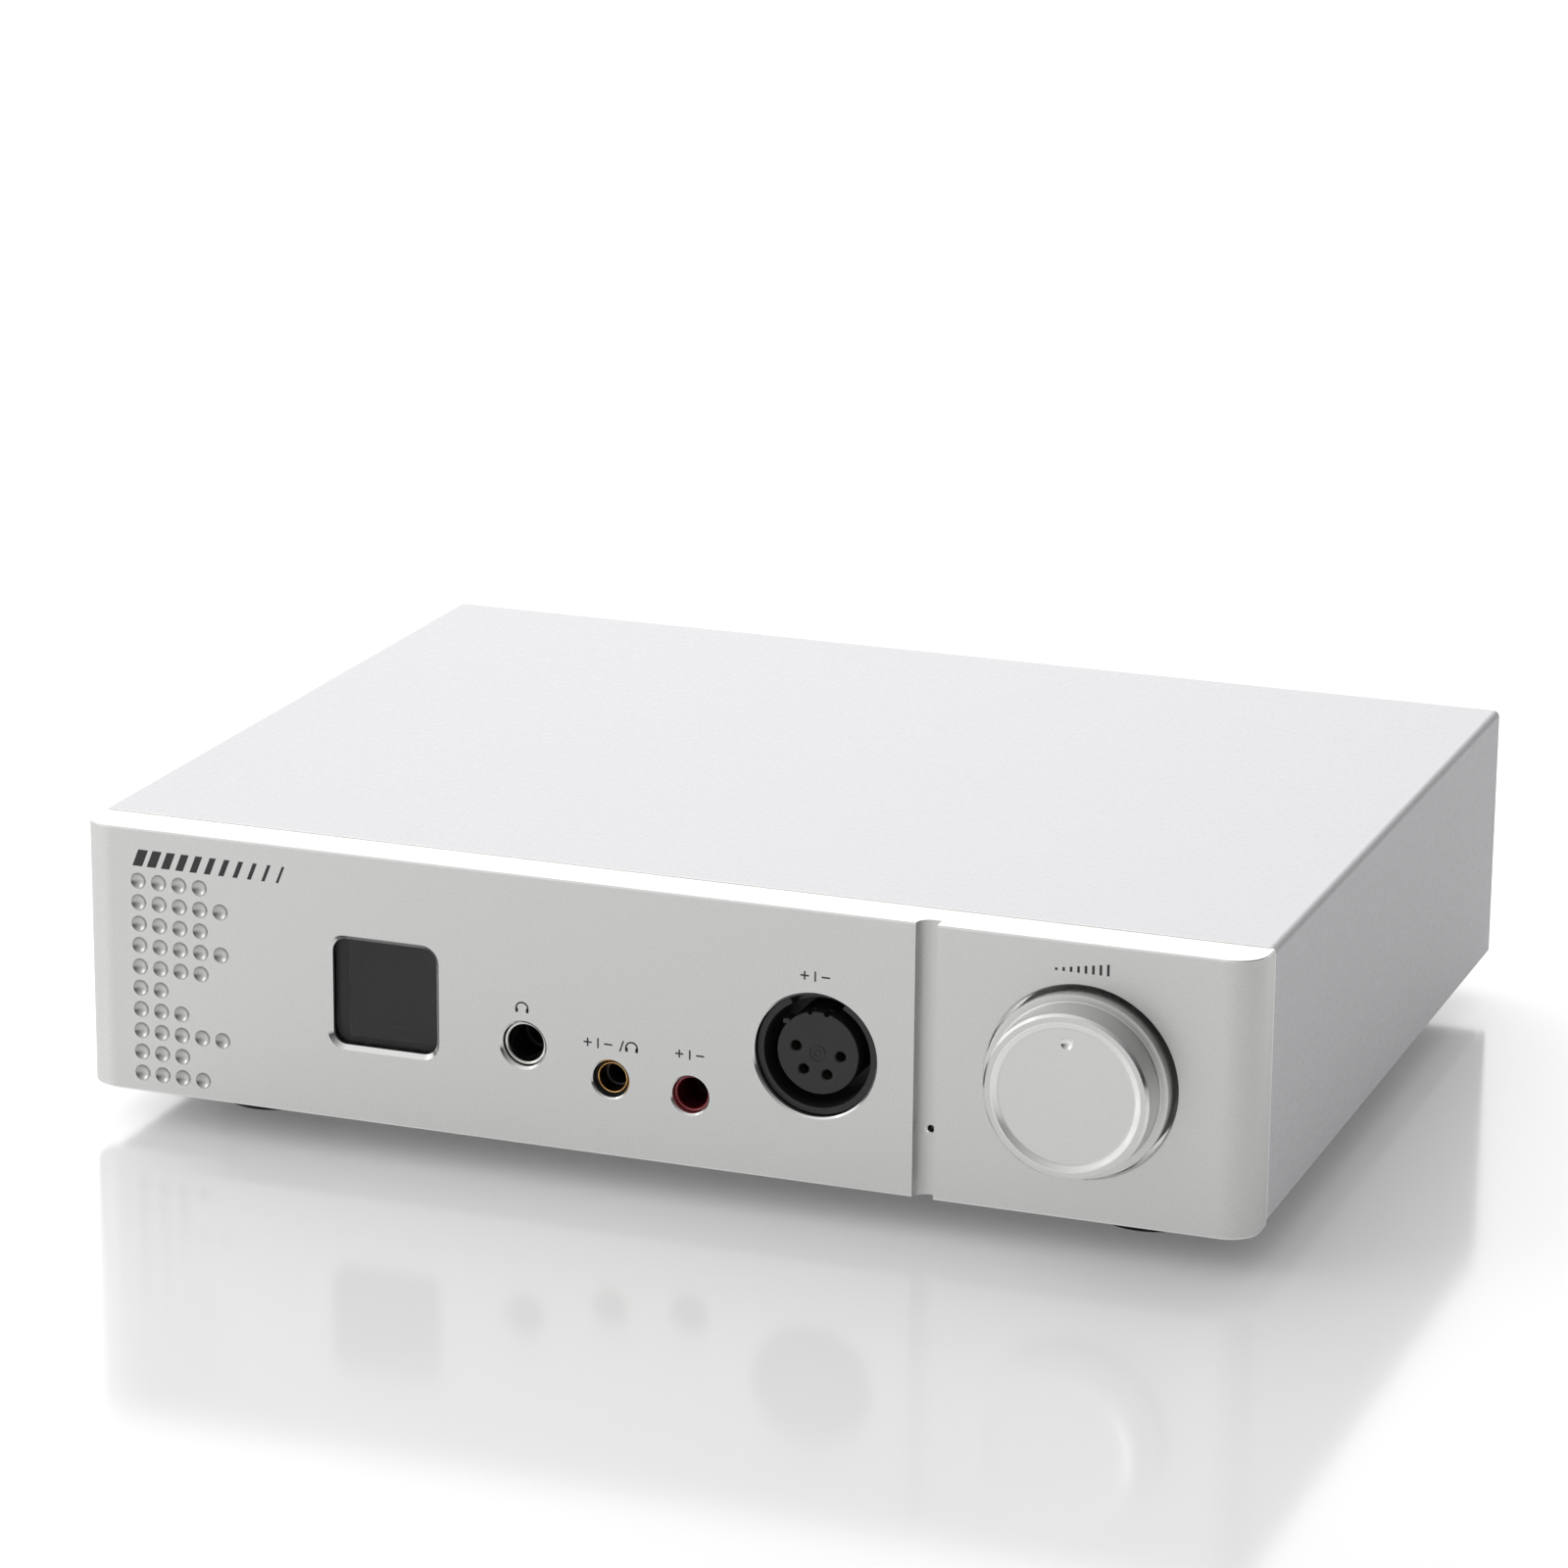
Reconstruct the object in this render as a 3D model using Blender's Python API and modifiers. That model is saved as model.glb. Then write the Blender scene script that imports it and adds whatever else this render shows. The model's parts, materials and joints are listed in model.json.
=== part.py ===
"""Desktop headphone amplifier in an aluminium case.

Sizes are in millimetres and become metres where a mesh or a place is made. Every piece is laid out from
the front panel: x to the right, depth back from the panel's face, height up from the panel's lower edge.
"""

import math

import bmesh
import bpy
from mathutils import Matrix, Vector

MM = 0.001

# Case
WIDTH = 260.0
CASE_DEPTH = 200.5
PANEL_HEIGHT = 58.9
PANEL_THICKNESS = 10.7
SHEET = 1.5
GAP = 0.3
GROUND_CLEARANCE = 8.7
KNOB_REACH = 10.0
SOCKET_REACH = 9.5
COVER_LIP = 1.3

# Front panel features: x and height of each centre
END_CURVE = (7.4, 6.5)
GROOVE = (58.1, 62.7, 3.0)
DIMPLE_ROWS = (4, 5, 4, 5, 4, 2, 3, 5, 3, 4)
DIMPLE_START = (-116.3, 47.3)
DIMPLE_PITCH = 4.78
DIMPLE_RADIUS = 1.8
DIMPLE_DEPTH = 0.9
WINDOW_CENTRE = (-59.7, 28.2)
WINDOW_SIZE = (23.8, 23.4)
WINDOW_CORNER = 3.0
WINDOW_LIP = 1.8
LENS_POCKET = 14.6
JACK_635 = (-27.9, 21.8)
JACK_44 = (-8.3, 16.8)
JACK_RED = (9.4, 15.6)
XLR4 = (36.7, 27.7)
XLR4_HOLE = 13.4
KNOB_CENTRE = (93.4, 29.45)
KNOB_RECESS = (20.2, 7.0)
INDICATOR = (61.0, 14.2)

# Inside and rear
BOARD = 1.6
BOARD_TOP = 12.4
JACK_BOARD_TOP = 11.0
FOOT_PLACES = {
    "front_left": (-100, 32),
    "front_right": (100, 32),
    "rear_left": (-100, 176),
    "rear_right": (100, 176),
}
FOOT_HOLE = 2.3
TRANSFORMER = (-82.0, 110.0)
INLET_CENTRE = (-91.0, 29.5)
SOCKET_CENTRE = (-77.0, 33.0)
ROCKER_CENTRE = (-106.0, 29.5)
ROCKER_PIVOT = 197.5
ROCKER_TILT = 7.0
XLR_IN = {"left": -14.0, "right": 24.0}
XLR_IN_HEIGHT = 30.0
PHONO = {"left": (66.0, 30.0), "right": (92.0, 30.0)}

FRONT_Y = KNOB_REACH - (KNOB_REACH + CASE_DEPTH + SOCKET_REACH) / 2
INNER_FRONT = PANEL_THICKNESS + GAP
REAR_INSIDE = CASE_DEPTH - SHEET
REAR_OUTSIDE = CASE_DEPTH + GAP
FLOOR_TOP = COVER_LIP + SHEET

FINISHES = {
    "silver": ((0.62, 0.62, 0.61), 0.42, 1.0),
    "sheet": ((0.7, 0.7, 0.71), 0.5, 1.0),
    "bright": ((0.8, 0.79, 0.77), 0.2, 1.0),
    "gold": ((0.83, 0.6, 0.28), 0.25, 1.0),
    "black": ((0.02, 0.02, 0.022), 0.5, 0.0),
    "rubber": ((0.015, 0.015, 0.015), 0.85, 0.0),
    "glass": ((0.02, 0.02, 0.022), 0.08, 0.0),
    "red": ((0.35, 0.02, 0.03), 0.3, 0.0),
    "board": ((0.02, 0.12, 0.06), 0.45, 0.0),
    "tape": ((0.55, 0.42, 0.1), 0.4, 0.0),
    "grey": ((0.45, 0.45, 0.47), 0.6, 0.0),
}


def clear_scene():
    for old in list(bpy.data.objects):
        bpy.data.objects.remove(old)


def new_collection(name):
    collection = bpy.data.collections.new(name)
    bpy.context.scene.collection.children.link(collection)
    return collection


def place(x, depth, height):
    """A point in metres from x, depth behind the panel's face and height above its lower edge."""
    return Vector((x, FRONT_Y + depth, GROUND_CLEARANCE + height)) * MM


def add(name, mesh, location, turn=None):
    obj = bpy.data.objects.new(name, mesh)
    obj.location = location
    if turn:
        obj.rotation_euler = turn.to_euler()
    PIECES.objects.link(obj)
    return obj


def finish(obj, kind):
    """Gives the piece its own material."""
    colour, roughness, metallic = FINISHES[kind]
    material = bpy.data.materials.new(f"{obj.name}_{kind}")
    material.use_nodes = True
    shader = material.node_tree.nodes["Principled BSDF"]
    shader.inputs["Base Color"].default_value = (*colour, 1.0)
    shader.inputs["Roughness"].default_value = roughness
    shader.inputs["Metallic"].default_value = metallic
    material.diffuse_color = (*colour, 1.0)
    obj.data.materials.append(material)
    return obj


# Y and X axes for a shape that is made along its own Z.
TURNS = {
    "X": Matrix(((0, 0, 1), (1, 0, 0), (0, 1, 0))),
    "Y": Matrix.Rotation(math.radians(-90), 3, "X"),
    "Z": Matrix.Identity(3),
}


def on_axis(axis, across, along):
    """A point from its place along one axis and its two places across it."""
    if axis == "X":
        return place(along, *across)
    if axis == "Y":
        return place(across[0], along, across[1])
    return place(*across, along)


def box(name, xs, depths, heights, bevel=0.0):
    low, high = place(xs[0], depths[0], heights[0]), place(xs[1], depths[1], heights[1])
    shape = bmesh.new()
    bmesh.ops.create_cube(shape, size=1.0)
    bmesh.ops.scale(shape, vec=high - low, verts=shape.verts)
    mesh = bpy.data.meshes.new(name)
    shape.to_mesh(mesh)
    shape.free()
    obj = add(name, mesh, (low + high) / 2)
    if bevel:
        edges = obj.modifiers.new("edges", "BEVEL")
        edges.width = bevel * MM
        edges.segments = 2
    return obj


def rod(name, axis, across, span, radius, sides=24):
    """A straight cylinder along X, Y or Z."""
    shape = bmesh.new()
    bmesh.ops.create_cone(
        shape,
        cap_ends=True,
        segments=sides,
        radius1=radius * MM,
        radius2=radius * MM,
        depth=(span[1] - span[0]) * MM,
    )
    mesh = bpy.data.meshes.new(name)
    shape.to_mesh(mesh)
    shape.free()
    return add(name, mesh, on_axis(axis, across, sum(span) / 2), TURNS[axis])


def turned(name, axis, across, profile, sides=32):
    """A profile of (radius, place along the axis), spun about the axis with a Screw.

    A profile that reaches the axis starts and ends on it; any other is closed into a ring.
    """
    start = on_axis(axis, across, 0.0)
    area = sum(a[0] * b[1] - b[0] * a[1] for a, b in zip(profile, profile[1:] + profile[:1]))
    points = profile if area < 0 else profile[::-1]
    mesh = bpy.data.meshes.new(name)
    shape = bmesh.new()
    corners = [shape.verts.new((radius * MM, 0, along * MM)) for radius, along in points]
    pairs = list(zip(corners, corners[1:]))
    if points[0][0] > 0:
        pairs.append((corners[-1], corners[0]))
    for pair in pairs:
        shape.edges.new(pair)
    shape.to_mesh(mesh)
    shape.free()
    obj = add(name, mesh, start, TURNS[axis])
    screw = obj.modifiers.new("turn", "SCREW")
    screw.steps = screw.render_steps = sides
    screw.use_merge_vertices = True
    screw.merge_threshold = 0.00002
    screw.use_smooth_shade = False
    return obj


# How a flat outline's own x, y and thickness lie: plan, front view and side view.
PLANES = {
    "plan": Matrix.Identity(3),
    "front": Matrix.Rotation(math.radians(90), 3, "X"),
    "side": TURNS["X"],
}


def slab(name, plane, outline, span):
    """A flat outline given a thickness: plan (x, depth), front (x, height) or side (depth, height)."""
    curve = bpy.data.curves.new(name, "CURVE")
    curve.dimensions = "2D"
    curve.fill_mode = "BOTH"
    curve.extrude = (span[1] - span[0]) / 2 * MM
    spline = curve.splines.new("POLY")
    spline.points.add(len(outline) - 1)
    for point, (x, y) in zip(spline.points, outline):
        point.co = (x * MM, y * MM, 0, 1)
    spline.use_cyclic_u = True
    middle = sum(span) / 2
    start = {"plan": (0, 0, middle), "front": (0, middle, 0), "side": (middle, 0, 0)}[plane]
    flat = add(name + "_outline", curve, place(*start), PLANES[plane])
    bpy.context.view_layer.update()
    graph = bpy.context.evaluated_depsgraph_get()
    mesh = bpy.data.meshes.new_from_object(flat.evaluated_get(graph))
    mesh.name = name
    shape = bmesh.new()
    shape.from_mesh(mesh)
    bmesh.ops.remove_doubles(shape, verts=shape.verts, dist=0.000001)
    bmesh.ops.recalc_face_normals(shape, faces=shape.faces)
    shape.to_mesh(mesh)
    shape.free()
    obj = bpy.data.objects.new(name, mesh)
    obj.matrix_world = flat.matrix_world
    PIECES.objects.link(obj)
    bpy.data.objects.remove(flat)
    return obj


def arc(centre, radii, start, end, steps):
    """Points of an ellipse's arc, angles in degrees."""
    points = []
    for step in range(steps + 1):
        angle = math.radians(start + (end - start) * step / steps)
        points.append((centre[0] + radii[0] * math.cos(angle), centre[1] + radii[1] * math.sin(angle)))
    return points


def rounded(centre, size, radius, steps=4):
    """A rectangle's outline with round corners."""
    half = (size[0] / 2 - radius, size[1] / 2 - radius)
    points = []
    for turn, (sx, sy) in enumerate(((1, 1), (-1, 1), (-1, -1), (1, -1))):
        corner = (centre[0] + sx * half[0], centre[1] + sy * half[1])
        points += arc(corner, (radius, radius), 90 * turn, 90 * turn + 90, steps)
    return points


def boolean(target, tool, operation):
    PIECES.objects.unlink(tool)
    CUTTERS.objects.link(tool)
    tool.hide_render = True
    tool.display_type = "WIRE"
    change = target.modifiers.new(tool.name, "BOOLEAN")
    change.operation = operation
    change.solver = "EXACT"
    change.object = tool


def cut(target, *tools):
    for tool in tools:
        boolean(target, tool, "DIFFERENCE")
    return target


def join(target, *tools):
    for tool in tools:
        boolean(target, tool, "UNION")
    return target


def around(centre, half_width):
    return (centre - half_width, centre + half_width)


# The front panel is one thick slab with round ends, milled for everything that shows through it.
def dimples():
    """One cutter made of all the balls that dent the left end of the panel."""
    ball = (DIMPLE_RADIUS**2 + DIMPLE_DEPTH**2) / (2 * DIMPLE_DEPTH)
    shape = bmesh.new()
    for row, count in enumerate(DIMPLE_ROWS):
        for column in range(count):
            spot = place(
                DIMPLE_START[0] + DIMPLE_PITCH * column,
                DIMPLE_DEPTH - ball,
                DIMPLE_START[1] - DIMPLE_PITCH * row,
            )
            bmesh.ops.create_uvsphere(
                shape,
                u_segments=8,
                v_segments=6,
                radius=ball * MM,
                matrix=Matrix.Translation(spot) @ TURNS["Y"].to_4x4(),
            )
    mesh = bpy.data.meshes.new("dimple_cutter")
    shape.to_mesh(mesh)
    shape.free()
    return add("dimple_cutter", mesh, (0, 0, 0))


def front_panel():
    half = WIDTH / 2
    flat = half - END_CURVE[0]
    right_end = arc((flat, END_CURVE[1]), END_CURVE, -90, 0, 6)
    left_end = [(-x, depth) for x, depth in reversed(right_end)]
    plan = right_end + [(half, PANEL_THICKNESS), (-half, PANEL_THICKNESS)] + left_end
    panel = slab("front_panel", "plan", plan, (0, PANEL_HEIGHT))
    left, right, deep = GROOVE
    groove = arc((left + deep, 0), (deep, deep), 180, 90, 5) + [(right, deep), (right, -1), (left, -1)]
    through = (-1, PANEL_THICKNESS + 1)
    x, height = WINDOW_CENTRE
    cut(
        panel,
        slab("groove_cutter", "plan", groove, (-1, PANEL_HEIGHT + 1)),
        slab("window_cutter", "front", rounded(WINDOW_CENTRE, WINDOW_SIZE, WINDOW_CORNER), through),
        box("lens_pocket", around(x, LENS_POCKET), (WINDOW_LIP, through[1]), around(height, LENS_POCKET)),
        rod("jack_635_hole", "Y", JACK_635, through, 5.3),
        rod("jack_44_hole", "Y", JACK_44, through, 4.3, 20),
        rod("jack_red_hole", "Y", JACK_RED, through, 4.3, 20),
        rod("xlr4_hole", "Y", XLR4, through, XLR4_HOLE, 40),
        rod("knob_recess", "Y", KNOB_CENTRE, (-1, KNOB_RECESS[1]), KNOB_RECESS[0], 48),
        rod("bushing_hole", "Y", KNOB_CENTRE, (6, through[1]), 3.9, 16),
        rod("indicator_hole", "Y", INDICATOR, through, 1.1, 10),
        dimples(),
    )
    finish(panel, "silver")


# The case: a folded cover over a shallow tray, and the rear panel between them.
def top_cover():
    half, top, bend = WIDTH / 2, PANEL_HEIGHT, SHEET
    right = [(half, COVER_LIP)] + arc((half - bend, top - bend), (bend, bend), 0, 90, 4)
    left = [(-x, height) for x, height in reversed(right)]
    inside = [(-half + SHEET, COVER_LIP), (-half + SHEET, top - SHEET), (half - SHEET, top - SHEET)]
    outline = right + left + inside + [(half - SHEET, COVER_LIP)]
    finish(slab("top_cover", "front", outline, (INNER_FRONT, CASE_DEPTH)), "sheet")


def bottom_plate():
    half, rise, wall = WIDTH / 2 - SHEET - GAP, 13.0, 1.2
    outline = [
        (-half, COVER_LIP),
        (half, COVER_LIP),
        (half, rise),
        (half - wall, rise),
        (half - wall, FLOOR_TOP),
        (-half + wall, FLOOR_TOP),
        (-half + wall, rise),
        (-half, rise),
    ]
    plate = slab("bottom_plate", "front", outline, (INNER_FRONT, CASE_DEPTH))
    notch = (REAR_INSIDE - GAP, CASE_DEPTH + 1)
    cut(plate, box("rear_notch", (-half - 1, half + 1), notch, (FLOOR_TOP, rise + 1)))
    for name, (x, depth) in FOOT_PLACES.items():
        cut(plate, rod(f"foot_hole_{name}", "Z", (x, depth), (0, FLOOR_TOP + 1), FOOT_HOLE, 10))
    first, pitch, wide = 86.0, 9.0, 3.0
    for slot in range(8):
        start = first + pitch * slot
        cut(plate, box(f"vent_{slot}", (44, 84), (start, start + wide), (0, FLOOR_TOP + 1)))
    finish(plate, "sheet")


def rear_panel():
    half = WIDTH / 2 - SHEET - GAP
    heights = (FLOOR_TOP + GAP, PANEL_HEIGHT - SHEET - GAP)
    panel = box("rear_panel", (-half, half), (REAR_INSIDE, CASE_DEPTH), heights)
    through = (REAR_INSIDE - 1, CASE_DEPTH + 1)
    x, height = INLET_CENTRE
    cut(panel, box("inlet_hole", around(x, 30.3), through, around(height, 14.8)))
    for side, x in XLR_IN.items():
        cut(panel, rod(f"xlr_hole_{side}", "Y", (x, XLR_IN_HEIGHT), through, 12.1, 28))
    for side, centre in PHONO.items():
        cut(panel, rod(f"phono_hole_{side}", "Y", centre, through, 4.4, 16))
    finish(panel, "sheet")


def feet():
    """Turned feet, each recessed underneath for its screw."""
    top = COVER_LIP - GAP
    floor = -GROUND_CLEARANCE
    outer, recess, screw_seat = 12.5, 5.5, floor + 5.0
    profile = [
        (outer, top),
        (outer, floor + 2.0),
        (outer - 1.0, floor),
        (recess, floor),
        (recess, screw_seat),
        (FOOT_HOLE, screw_seat),
        (FOOT_HOLE, top),
    ]
    for name, centre in FOOT_PLACES.items():
        finish(turned(f"foot_{name}", "Z", centre, profile, 28), "rubber")


# The display sits behind its window, in a pocket milled from the back of the panel.
def display():
    x, height = WINDOW_CENTRE
    lens, module = LENS_POCKET - 0.4, LENS_POCKET - 0.8
    finish(box("window_lens", around(x, lens), (2.1, 3.3), around(height, lens)), "glass")
    finish(box("display_module", around(x, module), (3.6, 10.7), around(height, module)), "black")
    finish(box("display_board", around(x, 20.0), (INNER_FRONT, 12.6), around(height, 17.0)), "board")


# The headphone sockets stand on one board, and their noses reach into the panel.
def jack(name, centre, half_width, back, top, bore, nose=0.0):
    """A socket's block with its bore, and the sleeve in front of it if it is moulded in one."""
    heights = (JACK_BOARD_TOP + GAP, top)
    body = box(name, around(centre[0], half_width), (INNER_FRONT, back), heights)
    if nose:
        join(body, rod(f"{name}_nose", "Y", centre, (1.5, INNER_FRONT + 1), nose, 20))
    cut(body, rod(f"{name}_bore", "Y", centre, (0, back - 2.5), bore, 16))
    return finish(body, "black")


def ring(name, centre, outer, inner, span, kind, sides=24):
    """A plain tube set in a hole."""
    profile = [(outer, span[1]), (outer, span[0]), (inner, span[0]), (inner, span[1])]
    finish(turned(name, "Y", centre, profile, sides), kind)


def headphone_sockets():
    jack("jack_635_body", JACK_635, 8.0, 36.0, 31.4, 3.35)
    ring("jack_635_ferrule", JACK_635, 4.7, 3.6, (1.4, 10.7), "bright")
    body = jack("jack_44_body", JACK_44, 5.5, 30.0, 22.3, 2.4, nose=3.95)
    cut(body, rod("jack_44_mouth", "Y", JACK_44, (0, 4.8), 3.65, 20))
    ring("jack_44_ring", JACK_44, 3.35, 2.65, (1.3, 4.5), "gold", 20)
    jack("jack_red_body", JACK_RED, 5.0, 28.0, 20.2, 2.4)
    ring("jack_red_collar", JACK_RED, 3.95, 3.05, (1.4, 10.7), "red", 20)


def xlr4_socket():
    x, height = XLR4
    back = 33.0
    shell = box("xlr4_shell", around(x, 13.3), (INNER_FRONT, back), (JACK_BOARD_TOP + GAP, 42.6))
    join(shell, rod("xlr4_barrel", "Y", XLR4, (1.6, INNER_FRONT + 1), XLR4_HOLE - GAP, 40))
    cut(
        shell,
        rod("xlr4_well", "Y", XLR4, (0, 14.0), 11.3, 36),
        box("xlr4_keyway", around(x, 5.9), (0, 5.0), (height + 8, height + 14.5)),
    )
    finish(shell, "black")
    insert = rod("xlr4_insert", "Y", XLR4, (2.0, 13.7), 8.85, 36)
    for contact in range(4):
        angle = math.radians(168 + 63 * contact)
        spot = (x + 4.9 * math.cos(angle), height + 4.9 * math.sin(angle))
        cut(insert, rod(f"contact_hole_{contact}", "Y", spot, (1, 12.0), 1.1, 12))
    finish(insert, "black")


# The volume control: an encoder behind the panel, with a turning shaft on a click plunger.
def volume_control():
    x, height = KNOB_CENTRE
    body = box("encoder_body", around(x, 6.6), (INNER_FRONT, 17.5), around(height, 6.6))
    join(body, rod("encoder_bushing", "Y", KNOB_CENTRE, (4.6, INNER_FRONT + 1), 3.55, 20))
    cut(
        body,
        rod("bushing_bore", "Y", KNOB_CENTRE, (4, 13), 3.15, 20),
        rod("plunger_well", "Y", KNOB_CENTRE, (11.9, 15.4), 4.9, 20),
    )
    finish(body, "bright")
    nut = rod("encoder_nut", "Y", KNOB_CENTRE, (5.0, 6.7), 5.6, 6)
    finish(cut(nut, rod("nut_bore", "Y", KNOB_CENTRE, (4, 8), 3.85, 20)), "bright")
    finish(rod("encoder_plunger", "Y", KNOB_CENTRE, (13.0, 14.6), 4.5, 20), "bright")
    finish(rod("encoder_shaft", "Y", KNOB_CENTRE, (-5.2, 12.7), 3.0, 20), "bright")
    back, skirt, face = 4.4, -3.0, -KNOB_REACH
    profile = [
        (0.0, face + 0.7),
        (14.6, face + 0.7),
        (15.6, face),
        (16.9, face),
        (17.4, face + 0.6),
        (17.6, skirt),
        (19.0, skirt),
        (19.4, skirt + 0.4),
        (19.4, back),
        (8.0, back),
        (8.0, 1.5),
        (3.3, 1.5),
        (3.3, -5.5),
        (0.0, -5.5),
    ]
    knob = turned("volume_knob", "Y", KNOB_CENTRE, profile, 48)
    cut(knob, rod("grub_hole", "Z", (x, -1.0), (height - 20, height - 2), 1.6, 12))
    finish(knob, "silver")
    finish(rod("knob_grub_screw", "Z", (x, -1.0), (height - 9, height - 3.3), 1.3, 12), "black")


def control_board():
    led = box("indicator_led", around(INDICATOR[0], 2.5), (INNER_FRONT, 17.5), around(INDICATOR[1], 2.5))
    join(led, rod("led_nose", "Y", INDICATOR, (4.2, INNER_FRONT + 1), 0.8, 10))
    finish(led, "black")
    finish(box("control_board", (54, 118), (17.8, 17.8 + BOARD), (8, 50)), "board")
    ribbon = [
        (19.7, 23.0),
        (45.0, 21.0),
        (56.0, 13.9),
        (66.0, 13.7),
        (66.0, BOARD_TOP + GAP),
        (55.5, BOARD_TOP + GAP + 0.1),
        (44.5, 20.0),
        (19.7, 22.0),
    ]
    finish(slab("ribbon_cable", "side", ribbon, (76, 96)), "grey")


# Boards and power supply
def circuit_boards():
    finish(box("jack_board", (-45, 53), (13, 52), (JACK_BOARD_TOP - BOARD, JACK_BOARD_TOP)), "board")
    finish(box("main_board", (-34, 124), (58, 192), (BOARD_TOP - BOARD, BOARD_TOP)), "board")
    posts = [(-28, 64), (118, 64), (-28, 186), (118, 186)]
    for number, centre in enumerate(posts, 1):
        heights = (FLOOR_TOP + GAP, BOARD_TOP - BOARD - GAP)
        finish(rod(f"board_post_{number}", "Z", centre, heights, 3.0, 6), "bright")
    for number in range(4):
        centre = (-14 + 24 * (number % 2), 86 + 26 * (number // 2))
        cap = rod(f"filter_cap_{number + 1}", "Z", centre, (BOARD_TOP + GAP, 47.0), 9.5, 20)
        finish(cap, "black")
    for side, x in (("left", 44.0), ("right", 96.0)):
        fins = [(x, 80.0), (x + 4, 80.0)]
        for fin in range(8):
            start = 80.0 + 10.0 * fin
            fins += [(x + 18, start), (x + 18, start + 2.5), (x + 4, start + 2.5), (x + 4, start + 10.0)]
        fins = fins[:-1] + [(x, 152.5)]
        finish(slab(f"heatsink_{side}", "plan", fins, (BOARD_TOP + GAP, 50.0)), "grey")
    finish(box("output_relay", (18, 34), (62, 72), (BOARD_TOP + GAP, 28), 0.5), "black")


def transformer():
    base, top, outer, inner, curve = 5.2, 41.0, 41.0, 14.0, 7.0
    profile = arc((outer - curve, top - curve), (curve, curve), 90, 0, 3)
    profile += arc((outer - curve, base + curve), (curve, curve), 0, -90, 3)
    profile += arc((inner + curve, base + curve), (curve, curve), 270, 180, 3)
    profile += arc((inner + curve, top - curve), (curve, curve), 180, 90, 3)
    finish(turned("transformer", "Z", TRANSFORMER, profile, 32), "tape")
    pad = rod("transformer_pad", "Z", TRANSFORMER, (FLOOR_TOP + GAP, base - GAP), 39.0, 32)
    finish(cut(pad, rod("pad_hole", "Z", TRANSFORMER, (0, 10), 3.6, 12)), "rubber")
    washer = [(30.0, 41.3), (30.0, 42.5), (12.0, 43.6), (3.5, 43.6), (3.5, 42.4), (12.0, 42.4)]
    finish(turned("transformer_washer", "Z", TRANSFORMER, washer, 28), "bright")
    bolt = rod("transformer_bolt", "Z", TRANSFORMER, (43.9, 49.0), 6.0, 6)
    join(bolt, rod("bolt_shank", "Z", TRANSFORMER, (FLOOR_TOP + GAP, 45), 3.0, 12))
    finish(bolt, "bright")


# The mains inlet: socket, fuse drawer and rocker in one housing, clipped in from the back.
def mains_inlet():
    x, height = INLET_CENTRE
    flange = (REAR_OUTSIDE, REAR_OUTSIDE + 2.5)
    housing = box("mains_inlet", around(x, 33.0), flange, around(height, 16.5))
    join(housing, box("inlet_body", around(x, 30.0), (180.5, flange[0] + 1), around(height, 14.5)))
    outside = flange[1] + 1
    socket_x, socket_z = SOCKET_CENTRE
    socket = [
        (socket_x - 12.2, socket_z - 8),
        (socket_x + 12.2, socket_z - 8),
        (socket_x + 12.2, socket_z + 3.5),
        (socket_x + 7.2, socket_z + 8),
        (socket_x - 7.2, socket_z + 8),
        (socket_x - 12.2, socket_z + 3.5),
    ]
    rocker_x, rocker_z = ROCKER_CENTRE
    cut(
        housing,
        slab("socket_well", "front", socket, (187.0, outside)),
        box("drawer_slot", around(socket_x, 12.0), (186.0, outside), (17.0, 23.5)),
        box("rocker_slot", around(rocker_x, 6.7), (189.0, outside), around(rocker_z, 10.7)),
        rod("rocker_seat", "X", (ROCKER_PIVOT, rocker_z), around(rocker_x, 8.2), 1.6, 12),
    )
    pins = {"line": (-7, -2), "neutral": (7, -2), "earth": (0, 2)}
    for name, (across, up) in pins.items():
        xs, heights = around(socket_x + across, 1.0), around(socket_z + up, 2.0)
        hole = (xs[0] - GAP, xs[1] + GAP), (heights[0] - GAP, heights[1] + GAP)
        cut(housing, box(f"{name}_pin_hole", hole[0], (180, 188), hole[1]))
        finish(box(f"inlet_pin_{name}", xs, (176.0, 201.5), heights, 0.4), "bright")
    finish(housing, "black")


def fuse_drawer():
    x = SOCKET_CENTRE[0]
    drawer = box("fuse_drawer", around(x, 11.7), (187.0, REAR_OUTSIDE + 3.0), (17.3, 23.2))
    cut(
        drawer,
        box("fuse_bay", around(x, 10.5), (192.2, 197.8), (18.4, 24.0)),
        box("finger_notch", around(x, 3.0), (201.6, 205), (22.0, 24.0)),
    )
    finish(drawer, "black")
    finish(rod("fuse", "X", (195.0, 20.9), around(x, 10.0), 2.2, 12), "bright")


def power_rocker():
    """The rocker turns on two stub pins; it rests tilted, with its upper end out."""
    x, height = ROCKER_CENTRE
    outline = [(-5, -7), (-5, 7), (3.5, 9.2), (7, 9.2), (5, 0), (7, -9.2), (3.5, -9.2)]
    shape = [(ROCKER_PIVOT + out, height + up) for out, up in outline]
    rocker = slab("power_rocker", "side", shape, around(x, 6.3))
    join(rocker, rod("rocker_pins", "X", (ROCKER_PIVOT, height), around(x, 7.8), 1.2, 12))
    axis = place(x, ROCKER_PIVOT, height)
    tilt = Matrix.Rotation(math.radians(-ROCKER_TILT), 4, "X")
    about = Matrix.Translation(axis) @ tilt @ Matrix.Translation(-axis)
    for obj in (rocker, bpy.data.objects["rocker_pins"]):
        obj.matrix_world = about @ obj.matrix_basis
    finish(rocker, "black")


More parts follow.
